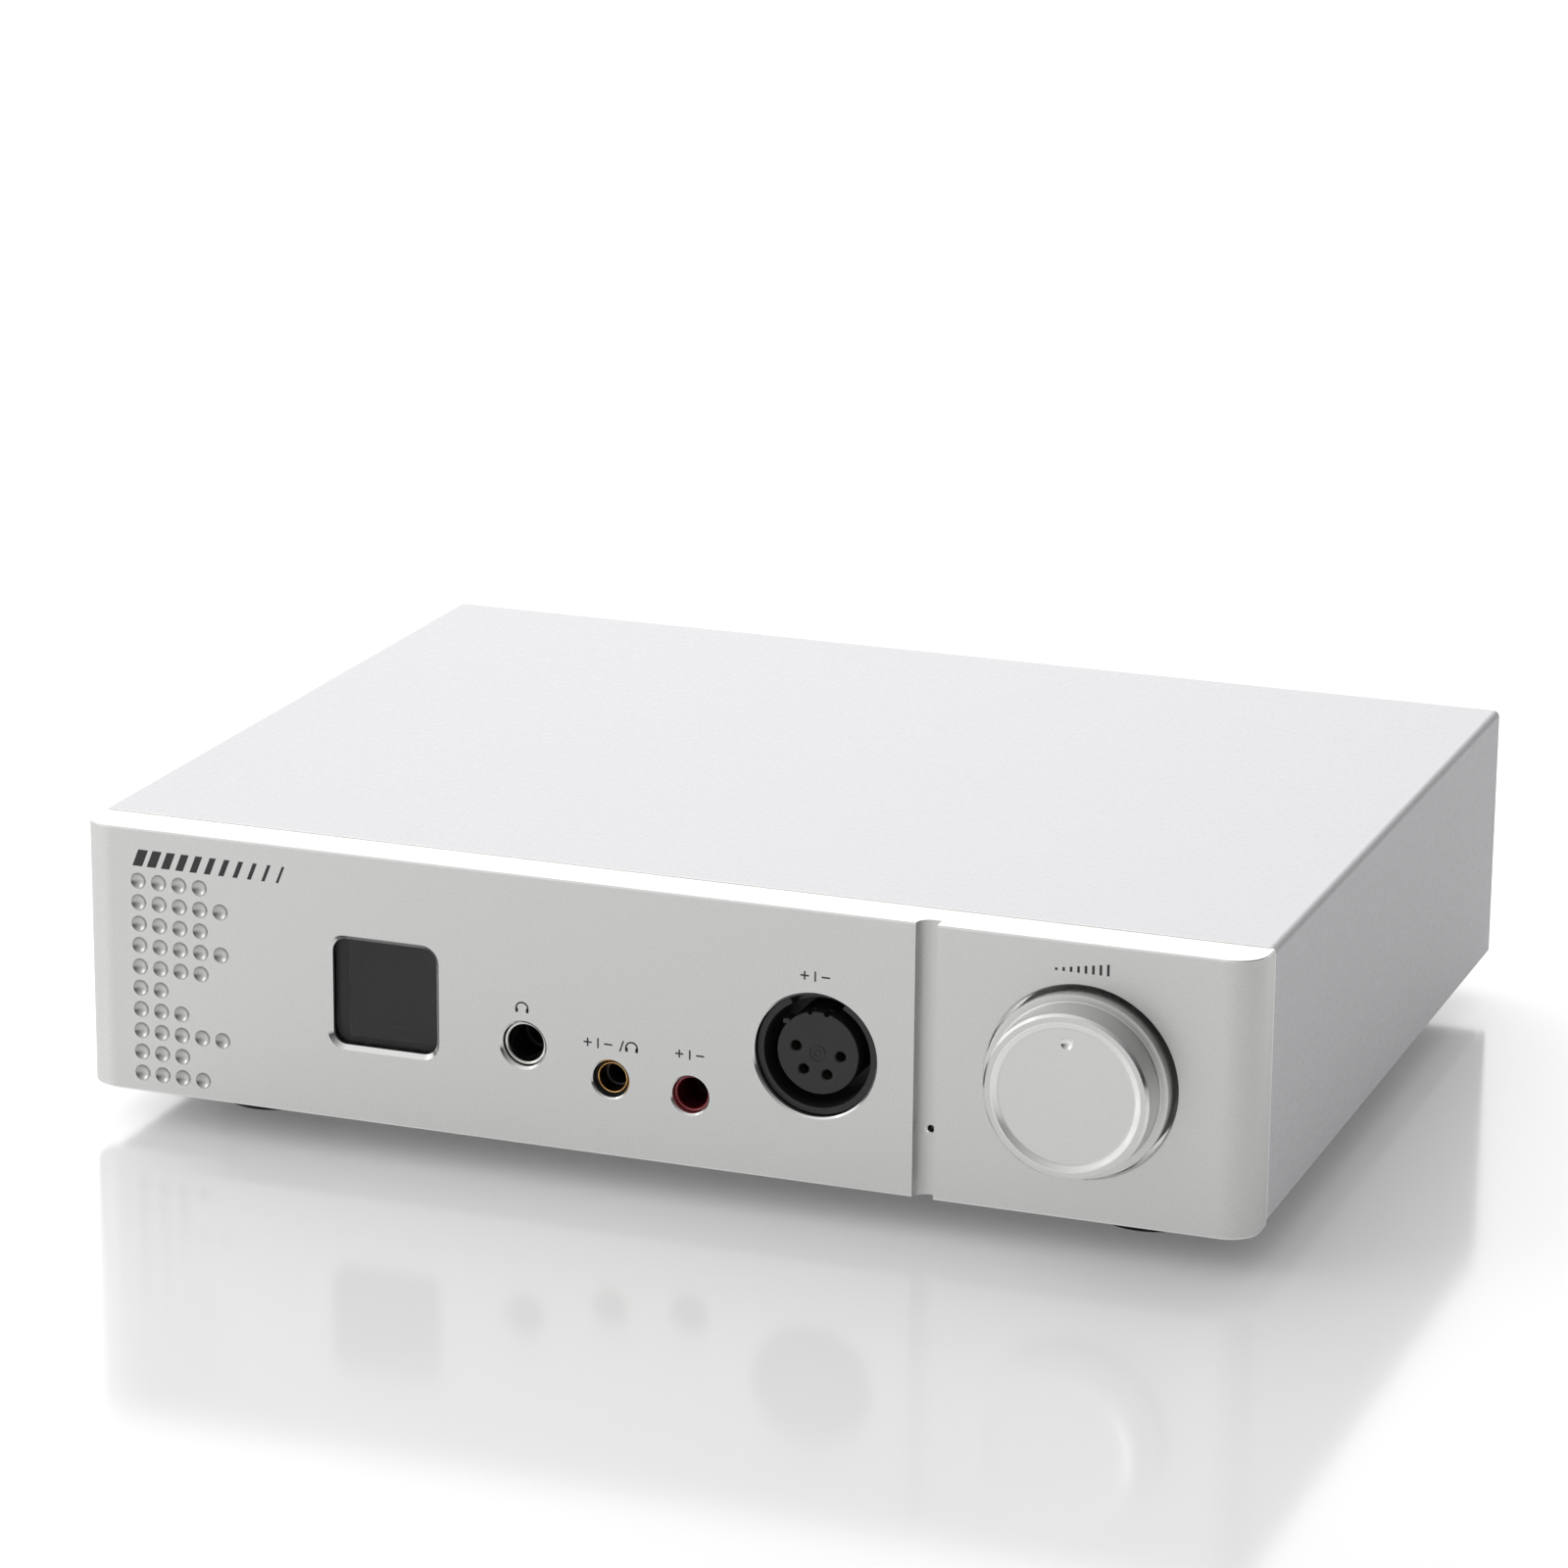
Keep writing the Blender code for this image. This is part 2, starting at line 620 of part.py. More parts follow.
# Balanced inputs: a flanged shell, its insert and the latch a plug clicks into.
def balanced_inputs():
    flange = (REAR_OUTSIDE, REAR_OUTSIDE + 2.0)
    for side, x in XLR_IN.items():
        centre = (x, XLR_IN_HEIGHT)
        shell = box(f"xlr_in_{side}_shell", around(x, 13.0), flange, around(XLR_IN_HEIGHT, 15.5))
        join(shell, rod(f"xlr_in_{side}_barrel", "Y", centre, (181.0, flange[0] + 1), 11.8, 28))
        latch = (XLR_IN_HEIGHT + 10.3, XLR_IN_HEIGHT + 13.8)
        slot = (latch[0] - 1.6, latch[1] + GAP)
        cut(
            shell,
            rod(f"xlr_in_{side}_well", "Y", centre, (186.5, flange[1] + 1), 9.7, 28),
            box(f"latch_slot_{side}", around(x, 4.0), (flange[0] - 0.1, flange[1] + 1), slot),
        )
        finish(shell, "black")
        insert = rod(f"xlr_in_{side}_insert", "Y", centre, (186.8, flange[1] - 0.8), 8.0, 28)
        for contact in range(3):
            angle = math.radians(30 - 120 * contact)
            spot = (x + 4.4 * math.cos(angle), XLR_IN_HEIGHT + 4.4 * math.sin(angle))
            cut(insert, rod(f"xlr_in_{side}_contact_{contact}", "Y", spot, (192, 204), 1.2, 10))
        finish(insert, "black")
        tab = box(f"xlr_in_{side}_latch", around(x, 3.6), (flange[0] + GAP, flange[1] + 1.2), latch)
        finish(tab, "bright")


def phono_inputs():
    """Each phono socket is a nut on a threaded barrel, with a sleeve that the plug grips."""
    end = CASE_DEPTH + SOCKET_REACH
    back, bore_end, nut = 190.0, 194.0, REAR_OUTSIDE + 2.2
    profile = [
        (0.0, back),
        (4.1, back),
        (4.1, REAR_OUTSIDE),
        (6.2, REAR_OUTSIDE),
        (6.2, nut),
        (4.2, nut),
        (4.2, end),
        (3.4, end),
        (3.2, end - 1.0),
        (1.6, end - 1.0),
        (1.6, bore_end),
        (0.0, bore_end),
    ]
    for side, centre in PHONO.items():
        finish(turned(f"phono_in_{side}", "Y", centre, profile, 24), "gold")


clear_scene()
PIECES = new_collection("headphone_amplifier")
CUTTERS = new_collection("cutters")
front_panel()
top_cover()
bottom_plate()
rear_panel()
feet()
display()
headphone_sockets()
xlr4_socket()
volume_control()
control_board()
circuit_boards()
transformer()
mains_inlet()
fuse_drawer()
power_rocker()
balanced_inputs()
phono_inputs()
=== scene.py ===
"""The looks of a desktop headphone amplifier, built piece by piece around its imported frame."""

import json
import math

import bmesh
import bpy
from mathutils import Matrix, Vector


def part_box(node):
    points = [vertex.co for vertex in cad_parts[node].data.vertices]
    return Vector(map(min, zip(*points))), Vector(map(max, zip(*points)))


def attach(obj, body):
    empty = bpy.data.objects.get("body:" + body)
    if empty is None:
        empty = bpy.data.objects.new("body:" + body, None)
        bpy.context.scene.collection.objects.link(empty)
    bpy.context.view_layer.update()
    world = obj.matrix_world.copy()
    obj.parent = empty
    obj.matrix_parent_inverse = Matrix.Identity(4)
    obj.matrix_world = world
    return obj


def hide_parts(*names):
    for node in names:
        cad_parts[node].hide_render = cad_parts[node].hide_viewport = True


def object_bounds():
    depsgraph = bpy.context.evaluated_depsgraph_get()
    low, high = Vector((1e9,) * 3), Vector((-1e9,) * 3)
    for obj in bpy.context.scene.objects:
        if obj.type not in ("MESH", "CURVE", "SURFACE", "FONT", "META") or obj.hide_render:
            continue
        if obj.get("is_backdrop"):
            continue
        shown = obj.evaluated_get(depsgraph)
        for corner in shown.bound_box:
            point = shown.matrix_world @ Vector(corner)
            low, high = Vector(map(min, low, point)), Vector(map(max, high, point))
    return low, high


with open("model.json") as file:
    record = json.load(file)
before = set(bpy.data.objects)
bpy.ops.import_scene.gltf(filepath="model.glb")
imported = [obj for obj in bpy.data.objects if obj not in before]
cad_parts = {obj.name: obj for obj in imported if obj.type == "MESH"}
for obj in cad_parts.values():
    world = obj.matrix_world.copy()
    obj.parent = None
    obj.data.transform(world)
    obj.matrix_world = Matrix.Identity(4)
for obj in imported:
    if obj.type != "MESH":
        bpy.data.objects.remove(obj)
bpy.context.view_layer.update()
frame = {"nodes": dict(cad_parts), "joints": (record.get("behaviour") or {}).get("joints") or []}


# Front panel: one thick slab of aluminium with round ends, milled with a groove, holes and dimples, then
# fine bead blasted and clear anodised. Its chamfers and hole mouths are cut after blasting, so they stay
# bright. All shapes are drawn in millimetres: right, back from the panel's face and up from its lower edge.
MM = 0.001
panel_low, panel_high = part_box("front_panel")
DRAWING = Matrix.Translation((0, panel_low.y, panel_low.z)) @ Matrix.Diagonal((MM, MM, MM, 1))


def drawn(node):
    """A node's lowest corner, highest corner and middle in the drawing's millimetres."""
    low, high = (DRAWING.inverted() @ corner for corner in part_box(node))
    return low, high, (low + high) / 2


def sweep(centre, radii, start, end, steps):
    """Points along part of an ellipse, angles in degrees."""
    angles = [math.radians(start + (end - start) * step / steps) for step in range(steps + 1)]
    return [(centre[0] + radii[0] * math.cos(a), centre[1] + radii[1] * math.sin(a)) for a in angles]


def rounded(centre, size, radius, steps=6):
    """The outline of a rectangle with round corners."""
    outline = []
    for turn, (right, up) in enumerate(((1, 1), (-1, 1), (-1, -1), (1, -1))):
        corner = (centre[0] + right * (size[0] / 2 - radius), centre[1] + up * (size[1] / 2 - radius))
        outline += sweep(corner, (radius, radius), 90 * turn, 90 * turn + 90, steps)
    return outline


def facing(outline, depth):
    """An outline drawn as right and up, stood at a depth."""
    return [(right, depth, up) for right, up in outline]


def plate(outline, rise):
    """A flat outline raised into a solid."""
    shape = bmesh.new()
    flat = shape.faces.new([shape.verts.new(point) for point in outline])
    raised = bmesh.ops.extrude_face_region(shape, geom=[flat])["geom"]
    corners = [part for part in raised if isinstance(part, bmesh.types.BMVert)]
    bmesh.ops.translate(shape, vec=rise, verts=corners)
    bmesh.ops.recalc_face_normals(shape, faces=shape.faces)
    return shape


def slab(outline, depth, thick):
    """A solid with an outline of right and up, from a depth backwards."""
    return plate(facing(outline, depth), (0, thick, 0))


def tile(outline, level, tall):
    """A solid with an outline of right and back, from a level upwards."""
    return plate([(right, depth, level) for right, depth in outline], (0, 0, tall))


def boxed(node, radius, steps=6, front=None):
    """A block as large as a node, with round corners, or the part of it behind a front."""
    low, high, middle = drawn(node)
    start = low.y if front is None else front
    size = (high.x - low.x, high.z - low.z)
    return slab(rounded((middle.x, middle.z), size, radius, steps), start, high.y - start)


def lofted(outlines):
    """Joins outlines one to the next and closes the first and the last."""
    shape = bmesh.new()
    rings = []
    for outline in outlines:
        corners = [shape.verts.new(point) for point in outline]
        rings.append([shape.edges.new(pair) for pair in zip(corners, corners[1:] + corners[:1])])
    for near, far in zip(rings, rings[1:]):
        bmesh.ops.bridge_loops(shape, edges=near + far)
    for ring in (rings[0], rings[-1]):
        bmesh.ops.contextual_create(shape, geom=ring)
    bmesh.ops.recalc_face_normals(shape, faces=shape.faces)
    return shape


def turned(centre, profile, axis="Y", steps=64):
    """Spins a profile of (radius, place along the axis). One that starts on the axis also ends on it."""
    shape = bmesh.new()
    if axis == "Y":
        corners = [shape.verts.new((centre[0] + radius, along, centre[1])) for radius, along in profile]
        middle, direction = (centre[0], 0, centre[1]), (0, 1, 0)
    else:
        corners = [shape.verts.new((centre[0] + radius, centre[1], along)) for radius, along in profile]
        middle, direction = (centre[0], centre[1], 0), (0, 0, 1)
    ends = corners[1:] + (corners[:1] if profile[0][0] > 0 else [])
    edges = [shape.edges.new(pair) for pair in zip(corners, ends)]
    bmesh.ops.spin(
        shape, geom=corners + edges, cent=middle, axis=direction, dvec=(0, 0, 0), angle=math.tau,
        steps=steps, use_merge=True
    )
    bmesh.ops.remove_doubles(shape, verts=shape.verts, dist=0.0005)
    bmesh.ops.recalc_face_normals(shape, faces=shape.faces)
    return shape


def rod(centre, radius, start, end, axis="Y", steps=64):
    return turned(centre, [(0, start), (radius, start), (radius, end), (0, end)], axis, steps)


def eased(shape, width, segments=2, above=60.0, chosen=None):
    """Rounds the edges that are sharper than an angle, or those of them that are chosen."""
    sharp = []
    for edge in shape.edges:
        if edge.is_manifold and edge.calc_face_angle(0) > math.radians(above):
            if chosen is None or chosen(edge):
                sharp.append(edge)
    bmesh.ops.bevel(
        shape, geom=sharp, offset=width, offset_type="OFFSET", segments=segments, profile=0.5,
        affect="EDGES", clamp_overlap=True, material=-1
    )
    return shape


def paint(shape, number, chosen=None):
    """Gives the faces that are chosen another of the piece's materials."""
    for face in shape.faces:
        if chosen is None or chosen(face):
            face.material_index = number
    return shape


def moved(shape, matrix):
    bmesh.ops.transform(shape, matrix=matrix, verts=shape.verts)
    return shape


def meshed(shape, name):
    mesh = bpy.data.meshes.new(name)
    shape.to_mesh(mesh)
    shape.free()
    return mesh


def placed(name, data):
    """A new object in the scene."""
    obj = bpy.data.objects.new(name, data)
    bpy.context.scene.collection.objects.link(obj)
    return obj


def gathered(shapes):
    """Several shapes as one."""
    whole = bmesh.new()
    for shape in shapes:
        mesh = meshed(shape, "gathered")
        whole.from_mesh(mesh)
        bpy.data.meshes.remove(mesh)
    return whole


def held(shape, materials):
    """A drawn shape as an object, its size still in millimetres."""
    mesh = meshed(shape, "held")
    for _ in range(materials):
        mesh.materials.append(None)
    return placed("held", mesh)


def carved(shape, tools, operation="DIFFERENCE", materials=3):
    """Cuts the tools out of a shape, or welds them to it. Faces keep the material number they had."""
    block = held(shape, materials)
    cutters = [held(tool, materials) for tool in tools]
    for cutter in cutters:
        change = block.modifiers.new("change", "BOOLEAN")
        change.operation = operation
        change.solver = "EXACT"
        change.object = cutter
    bpy.context.view_layer.update()
    result = bmesh.new()
    result.from_object(block, bpy.context.evaluated_depsgraph_get())
    for obj in [block, *cutters]:
        mesh = obj.data
        bpy.data.objects.remove(obj)
        bpy.data.meshes.remove(mesh)
    return result


def piece(name, shape, materials, stands_for=(), body="chassis", crease=32.0):
    """Brings a drawn shape into the frame as a finished piece that rides on its body."""
    mesh = meshed(moved(shape, DRAWING), name)
    for material in materials:
        mesh.materials.append(material)
    mesh.shade_smooth()
    mesh.set_sharp_from_angle(angle=math.radians(crease))
    obj = placed(name, mesh)
    normals = obj.modifiers.new("flat_faces", "WEIGHTED_NORMAL")
    normals.keep_sharp = True
    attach(obj, body)
    if stands_for:
        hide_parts(*((stands_for,) if isinstance(stands_for, str) else stands_for))
    return obj


def feed(tree, node, inputs):
    """Gives each input of a node a value or a link."""
    for socket, value in dict(inputs).items():
        if isinstance(value, bpy.types.NodeSocket):
            tree.links.new(value, node.inputs[socket])
        else:
            node.inputs[socket].default_value = value
    return node


def add_node(tree, kind, inputs=(), **options):
    """Adds a node with its options and its inputs."""
    made = tree.nodes.new(kind)
    for option, value in options.items():
        setattr(made, option, value)
    return feed(tree, made, inputs)


def new_group(name, inputs, outputs):
    """An empty shader node group with its sockets, and its two ends."""
    group = bpy.data.node_groups.new(name, "ShaderNodeTree")
    for label, value in inputs.items():
        kind = "NodeSocketFloat" if isinstance(value, float) else "NodeSocketColor"
        group.interface.new_socket(label, in_out="INPUT", socket_type=kind).default_value = value
    for label in outputs:
        kind = "NodeSocketColor" if label == "Colour" else "NodeSocketFloat"
        group.interface.new_socket(label, in_out="OUTPUT", socket_type=kind)
    return group, add_node(group, "NodeGroupInput").outputs, add_node(group, "NodeGroupOutput")


def maths(tree, operation, first, second=0.0, third=0.0):
    return add_node(tree, "ShaderNodeMath", {0: first, 1: second, 2: third}, operation=operation).outputs[0]


def scaled(tree, colour, factor):
    inputs = {0: colour, "Scale": factor}
    return add_node(tree, "ShaderNodeVectorMath", inputs, operation="SCALE").outputs[0]


def new_material(name):
    """A material with its node tree and its shader."""
    material = bpy.data.materials.new(name)
    material.use_nodes = True
    return material, material.node_tree, material.node_tree.nodes["Principled BSDF"]


# Fine grain with slow blotches, which every finish below takes with its own values.
fine_grain, given, result = new_group(
    "fine_grain",
    {
        "Colour": (0.5, 0.5, 0.5, 1.0), "Spread": 0.05, "Grain": 0.3, "Blotch": 0.02, "Roughness": 0.5,
        "Rough Spread": 0.05
    },
    ("Colour", "Roughness", "Height")
)
spot = add_node(fine_grain, "ShaderNodeTexCoord").outputs["Object"]
grain_scale = maths(fine_grain, "DIVIDE", 1 / MM, given["Grain"])
grain = add_node(fine_grain, "ShaderNodeTexNoise", {"Vector": spot, "Scale": grain_scale, "Detail": 2.0})
blotch = add_node(fine_grain, "ShaderNodeTexNoise", {"Vector": spot, "Scale": 35.0, "Detail": 4.0})
grain_swing = maths(fine_grain, "MULTIPLY_ADD", grain.outputs[0], 2.0, -1.0)
blotch_swing = maths(fine_grain, "MULTIPLY_ADD", blotch.outputs[0], 2.0, -1.0)
slow = maths(fine_grain, "MULTIPLY_ADD", blotch_swing, given["Blotch"], 1.0)
shade = maths(fine_grain, "MULTIPLY_ADD", grain_swing, given["Spread"], slow)
tinted = scaled(fine_grain, given["Colour"], shade)
uneven = maths(fine_grain, "MULTIPLY_ADD", blotch_swing, given["Blotch"], given["Roughness"])
rough = maths(fine_grain, "MULTIPLY_ADD", grain_swing, given["Rough Spread"], uneven)
feed(fine_grain, result, {"Colour": tinted, "Roughness": rough, "Height": grain.outputs[0]})


def surface(name, pattern, values, metallic, relief, extra=()):
    """A material whose colour, roughness and relief in millimetres come from a pattern."""
    material, tree, shader = new_material(name)
    made = add_node(tree, "ShaderNodeGroup", values, node_tree=pattern, name="grain").outputs
    heights = {"Height": made["Height"], "Distance": relief * MM, "Strength": 1.0}
    bump = add_node(tree, "ShaderNodeBump", heights)
    feed(tree, shader, {"Metallic": metallic, **dict(extra)})
    feed(
        tree, shader,
        {"Base Color": made["Colour"], "Roughness": made["Roughness"], "Normal": bump.outputs[0]}
    )
    return material


def finish(
    name, colour, roughness, metallic=0.0, spread=0.04, grain=0.3, blotch=0.02, rough_spread=0.04,
    relief=0.01, extra=()
):
    """A surface finish: colour and roughness with fine grain of a size and relief in millimetres."""
    values = {
        "Colour": (*colour, 1.0), "Spread": spread, "Grain": grain, "Blotch": blotch,
        "Roughness": roughness, "Rough Spread": rough_spread
    }
    return surface(name, fine_grain, values, metallic, relief, extra)


blasted = finish("aluminium_fine_blasted", (0.72, 0.726, 0.711), 0.42, 1.0, 0.09, 0.5, 0.012, 0.06, 0.006)
cut_bright = finish("aluminium_cut_bright", (0.88, 0.88, 0.87), 0.16, 1.0, 0.02, 0.15, 0.01, 0.03, 0.001)
# The dimples take a darker colour than the face: painted shade in the hollows, on a smoother surface.
dimple_painted_shade = finish("aluminium_dimple_painted_shade", (0.56, 0.563, 0.553), 0.3, 1.0, 0.04, 0.2, 0.01, 0.03, 0.002)

half_width = (panel_high.x - panel_low.x) / 2 / MM
thickness = (panel_high.y - panel_low.y) / MM
height = (panel_high.z - panel_low.z) / MM
END = (7.4, 6.5)
GROOVE_LEFT, GROOVE_RIGHT, GROOVE_DEPTH = 58.1, 62.7, 3.0
right_end = sweep((half_width - END[0], END[1]), END, -90, 0, 24)
left_end = [(-x, depth) for x, depth in reversed(right_end)]
plan = right_end + [(half_width, thickness), (-half_width, thickness)] + left_end
panel = tile(plan, 0, height)


def on_rim(edge):
    ups = [corner.co.z for corner in edge.verts]
    return max(ups) < 0.001 or min(ups) > height - 0.001


eased(panel, 0.42, 3, 35.0, on_rim)
paint(panel, 1, lambda face: 0.2 < abs(face.normal.z) < 0.97)


def hole_tool(centre, throat, chamfer, back, steps=72):
    """A round cutter with a 45 degree mouth, which leaves a bright chamfer."""
    tool = turned(
        centre, [(0, -1), (throat + chamfer + 1, -1), (throat, chamfer), (throat, back), (0, back)],
        steps=steps
    )
    return paint(tool, 1)


groove = sweep((GROOVE_LEFT + GROOVE_DEPTH, 0), (GROOVE_DEPTH, GROOVE_DEPTH), 180, 90, 16)
groove += [(GROOVE_RIGHT, GROOVE_DEPTH), (GROOVE_RIGHT, -1), (GROOVE_LEFT, -1)]
groove_tool = tile(groove, -1, height + 2)
window = drawn("window_lens")[2]
WINDOW = (23.8, 23.4)
WINDOW_CORNER, WINDOW_CHAMFER, BEHIND = 3.0, 0.95, 12.0
window_place = (window.x, window.z)


def window_outline(grow, depth):
    size = (WINDOW[0] + 2 * grow, WINDOW[1] + 2 * grow)
    return facing(rounded(window_place, size, WINDOW_CORNER + grow), depth)


window_tool = lofted(
    [window_outline(WINDOW_CHAMFER + 1, -1), window_outline(0, WINDOW_CHAMFER), window_outline(0, BEHIND)]
)
paint(window_tool, 1)
lens_pocket = slab(rounded(window_place, (29.2, 29.2), 1.0), 1.8, 10)
jack_635 = drawn("jack_635_ferrule")[2]
jack_44 = drawn("jack_44_ring")[2]
jack_red = drawn("jack_red_collar")[2]
xlr4 = drawn("xlr4_insert")[2]
knob = drawn("encoder_shaft")[2]
led_hole = drawn("indicator_led")[2]
KNOB_RECESS, RECESS_DEPTH = 20.2, 7.0
LED_HOLE, LED_MOUTH = 0.75, GROOVE_DEPTH + 0.15
led_tool = turned(
    (led_hole.x, led_hole.z),
    [(0, 2.0), (LED_HOLE + LED_MOUTH - 2.0, 2.0), (LED_HOLE, LED_MOUTH), (LED_HOLE, BEHIND), (0, BEHIND)],
    steps=32
)
paint(led_tool, 1)
LARGE_HOLE, SMALL_HOLE, XLR4_HOLE, SHAFT_HOLE = 4.85, 4.02, 13.2, 3.9
tools = [
    groove_tool, window_tool, lens_pocket, hole_tool((jack_635.x, jack_635.z), LARGE_HOLE, 0.5, BEHIND),
    hole_tool((jack_44.x, jack_44.z), SMALL_HOLE, 0.35, BEHIND),
    hole_tool((jack_red.x, jack_red.z), SMALL_HOLE, 0.35, BEHIND),
    hole_tool((xlr4.x, xlr4.z), XLR4_HOLE, 0.4, BEHIND, 128),
    hole_tool((knob.x, knob.z), KNOB_RECESS, 0.45, RECESS_DEPTH, 160),
    hole_tool((knob.x, knob.z), SHAFT_HOLE, 0.0, BEHIND, 32), led_tool
]
DIMPLE_ROWS = (4, 5, 4, 5, 4, 2, 3, 5, 3, 4)
DIMPLE_FIRST, DIMPLE_PITCH, DIMPLE_BALL, DIMPLE_DEPTH = (-116.3, 47.3), 4.78, 2.25, 0.9
BACKWARDS, ACROSS = Matrix.Rotation(math.pi / 2, 4, "X"), Matrix.Rotation(math.pi / 2, 4, "Y")
dimples = bmesh.new()
for row, count in enumerate(DIMPLE_ROWS):
    for column in range(count):
        across = DIMPLE_FIRST[0] + DIMPLE_PITCH * column
        up = DIMPLE_FIRST[1] - DIMPLE_PITCH * row
        place = Matrix.Translation((across, DIMPLE_DEPTH - DIMPLE_BALL, up)) @ BACKWARDS
        bmesh.ops.create_uvsphere(dimples, u_segments=36, v_segments=28, radius=DIMPLE_BALL, matrix=place)
# The dimple walls take the darker colour, which is painted shade.
paint(dimples, 2)
tools.append(dimples)
panel = carved(panel, tools)
piece(
    "front_panel_milled", panel, (blasted, cut_bright, dimple_painted_shade), "front_panel",
    crease=25.0
)


# Marks on the panel: thin dark ink, drawn as plain bars, a pair of headphones, plus and minus for a balanced
# socket, and rising bars for the volume.
ink = finish("ink_dark_grey", (0.035, 0.035, 0.038), 0.55, 0.0, 0.08, 0.12, 0.02, 0.05, 0.002)
INK_DEPTH, INK_THICKNESS = -0.02, 0.05
LINE = 0.36


def printed(outline, depth=INK_DEPTH, rise=INK_THICKNESS):
    return slab(outline, depth, rise)


def bar(left, low_edge, width, tall, lean=0.0):
    """A bar whose top leans to the right."""
    return [
        (left, low_edge), (left + width, low_edge), (left + width + lean, low_edge + tall),
        (left + lean, low_edge + tall)
    ]


def headphones(across, up, width):
    """A headband with two ear pads, its lowest edge at up."""
    radius = width / 2
    centre = (across, up + radius * 0.62)
    band = sweep(centre, (radius, radius), -25, 205, 28)
    band += sweep(centre, (radius - LINE, radius - LINE), 205, -25, 28)
    pads = []
    for side in (-1, 1):
        pads.append(rounded((across + side * (radius - 0.32), up + 0.52), (0.62, 1.05), 0.28, 4))
    return [printed(band)] + [printed(pad) for pad in pads]


def balanced(across, up, tall):
    """A plus and a minus either side of an upright line."""
    middle, reach = up + tall / 2, tall * 0.42
    marks = [bar(across - LINE / 2, up, LINE, tall)]
    marks.append(bar(across - 2.3 - reach, middle - LINE / 2, 2 * reach, LINE))
    marks.append(bar(across - 2.3 - LINE / 2, middle - reach, LINE, reach - LINE / 2))
    marks.append(bar(across - 2.3 - LINE / 2, middle + LINE / 2, LINE, reach - LINE / 2))
    marks.append(bar(across + 2.3 - reach, middle - LINE / 2, 2 * reach, LINE))
    return [printed(mark) for mark in marks]


marks = headphones(-28.05, 28.9, 3.0)
marks += balanced(-11.0, 23.3, 2.2) + [
    printed(bar(-6.3, 23.2, LINE, 2.4, 0.8))
] + headphones(-3.5, 23.3, 2.9)
marks += balanced(9.4, 23.4, 2.1)
marks += balanced(36.7, 43.7, 2.2)
RISE_LEFT, RISE_BASE, RISE_PITCH = 87.6, 52.5, 1.55
for step in range(8):
    marks.append(printed(bar(RISE_LEFT + RISE_PITCH * step, RISE_BASE, 0.55, 0.55 + 0.27 * step)))
BAR_LEFT, BAR_BASE, BAR_PITCH, BAR_TALL, BAR_LEAN = -117.6, 50.6, 3.35, 3.7, 1.5
for step in range(11):
    wide = 2.3 - 0.17 * step
    marks.append(printed(bar(BAR_LEFT + BAR_PITCH * step, BAR_BASE, wide, BAR_TALL, BAR_LEAN)))
piece("panel_marks", gathered(marks), (ink,))


# Top cover: one aluminium sheet folded down at both sides, blasted coarser than the panel and clear
# anodised. It slides over the tray, and its cut front edge shows as a thin bright line behind the panel.
sheet_blasted = finish(
    "aluminium_sheet_blasted", (0.765, 0.765, 0.78), 0.65, 1.0, 0.16, 0.8, 0.012, 0.1, 0.016
)
cover_low, cover_high, _ = drawn("top_cover")
SHEET, BEND, INNER_BEND = 1.5, 1.5, 0.4
half = cover_high.x
fold = [(half, cover_low.z)] + sweep((half - BEND, cover_high.z - BEND), (BEND, BEND), 0, 90, 10)
inner_corner = (half - SHEET - INNER_BEND, cover_high.z - SHEET - INNER_BEND)
inside = [(half - SHEET, cover_low.z)] + sweep(inner_corner, (INNER_BEND, INNER_BEND), 0, 90, 4)
outline = fold + [(-x, up) for x, up in reversed(fold)]
outline += [(-x, up) for x, up in inside] + list(reversed(inside))
cover = slab(outline, cover_low.y, cover_high.y - cover_low.y)
eased(cover, 0.14, 2, 40.0)
paint(cover, 1, lambda face: face.normal.y < -0.3 and face.calc_center_median().y < cover_low.y + 0.2)
piece("top_cover_folded", cover, (sheet_blasted, cut_bright), "top_cover")


# Bottom plate: a tray of sheet painted satin black, with low flanges inside the cover, four foot holes and a
# grille of slots under the heatsinks. Small countersunk screws hold it to the cover.
tray_black = finish("tray_black_paint", (0.035, 0.035, 0.036), 0.5, 0.0, 0.1, 0.35, 0.04, 0.07, 0.012)
tray_low, tray_high, _ = drawn("bottom_plate")
TRAY_WALL, TRAY_BEND, TRAY_INNER = 1.2, 1.1, 0.3
floor_top = tray_low.z + SHEET
wing = sweep((tray_high.x - TRAY_BEND, tray_low.z + TRAY_BEND), (TRAY_BEND, TRAY_BEND), -90, 0, 6)
wing += [(tray_high.x, tray_high.z), (tray_high.x - TRAY_WALL, tray_high.z)]
corner = (tray_high.x - TRAY_WALL - TRAY_INNER, floor_top + TRAY_INNER)
wing += sweep(corner, (TRAY_INNER, TRAY_INNER), 0, -90, 3)
outline = wing + [(-x, up) for x, up in reversed(wing)]
tray = slab(outline, tray_low.y, tray_high.y - tray_low.y)
eased(tray, 0.12, 2, 40.0)
FEET = ("front_left", "front_right", "rear_left", "rear_right")
foot_places = [drawn(f"foot_{name}")[2] for name in FEET]
tools = [rod((place.x, place.y), 2.3, 0, 6, "Z", 32) for place in foot_places]
SLOTS, SLOT_FIRST, SLOT_PITCH, SLOT_SIZE = 8, 87.5, 9.0, (40.0, 3.0)
for number in range(SLOTS):
    centre = (64.0, SLOT_FIRST + SLOT_PITCH * number)
    tools.append(paint(tile(rounded(centre, SLOT_SIZE, 1.5, 8), 0, 5), 1))
rear_notch = [
    (-130, tray_high.y - 1.8), (130, tray_high.y - 1.8), (130, tray_high.y + 1), (-130, tray_high.y + 1)
]
tools.append(tile(rear_notch, floor_top, 12))
TRAY_SCREWS = [(x, depth) for x in (-122, 122) for depth in (16, 102, 192)]
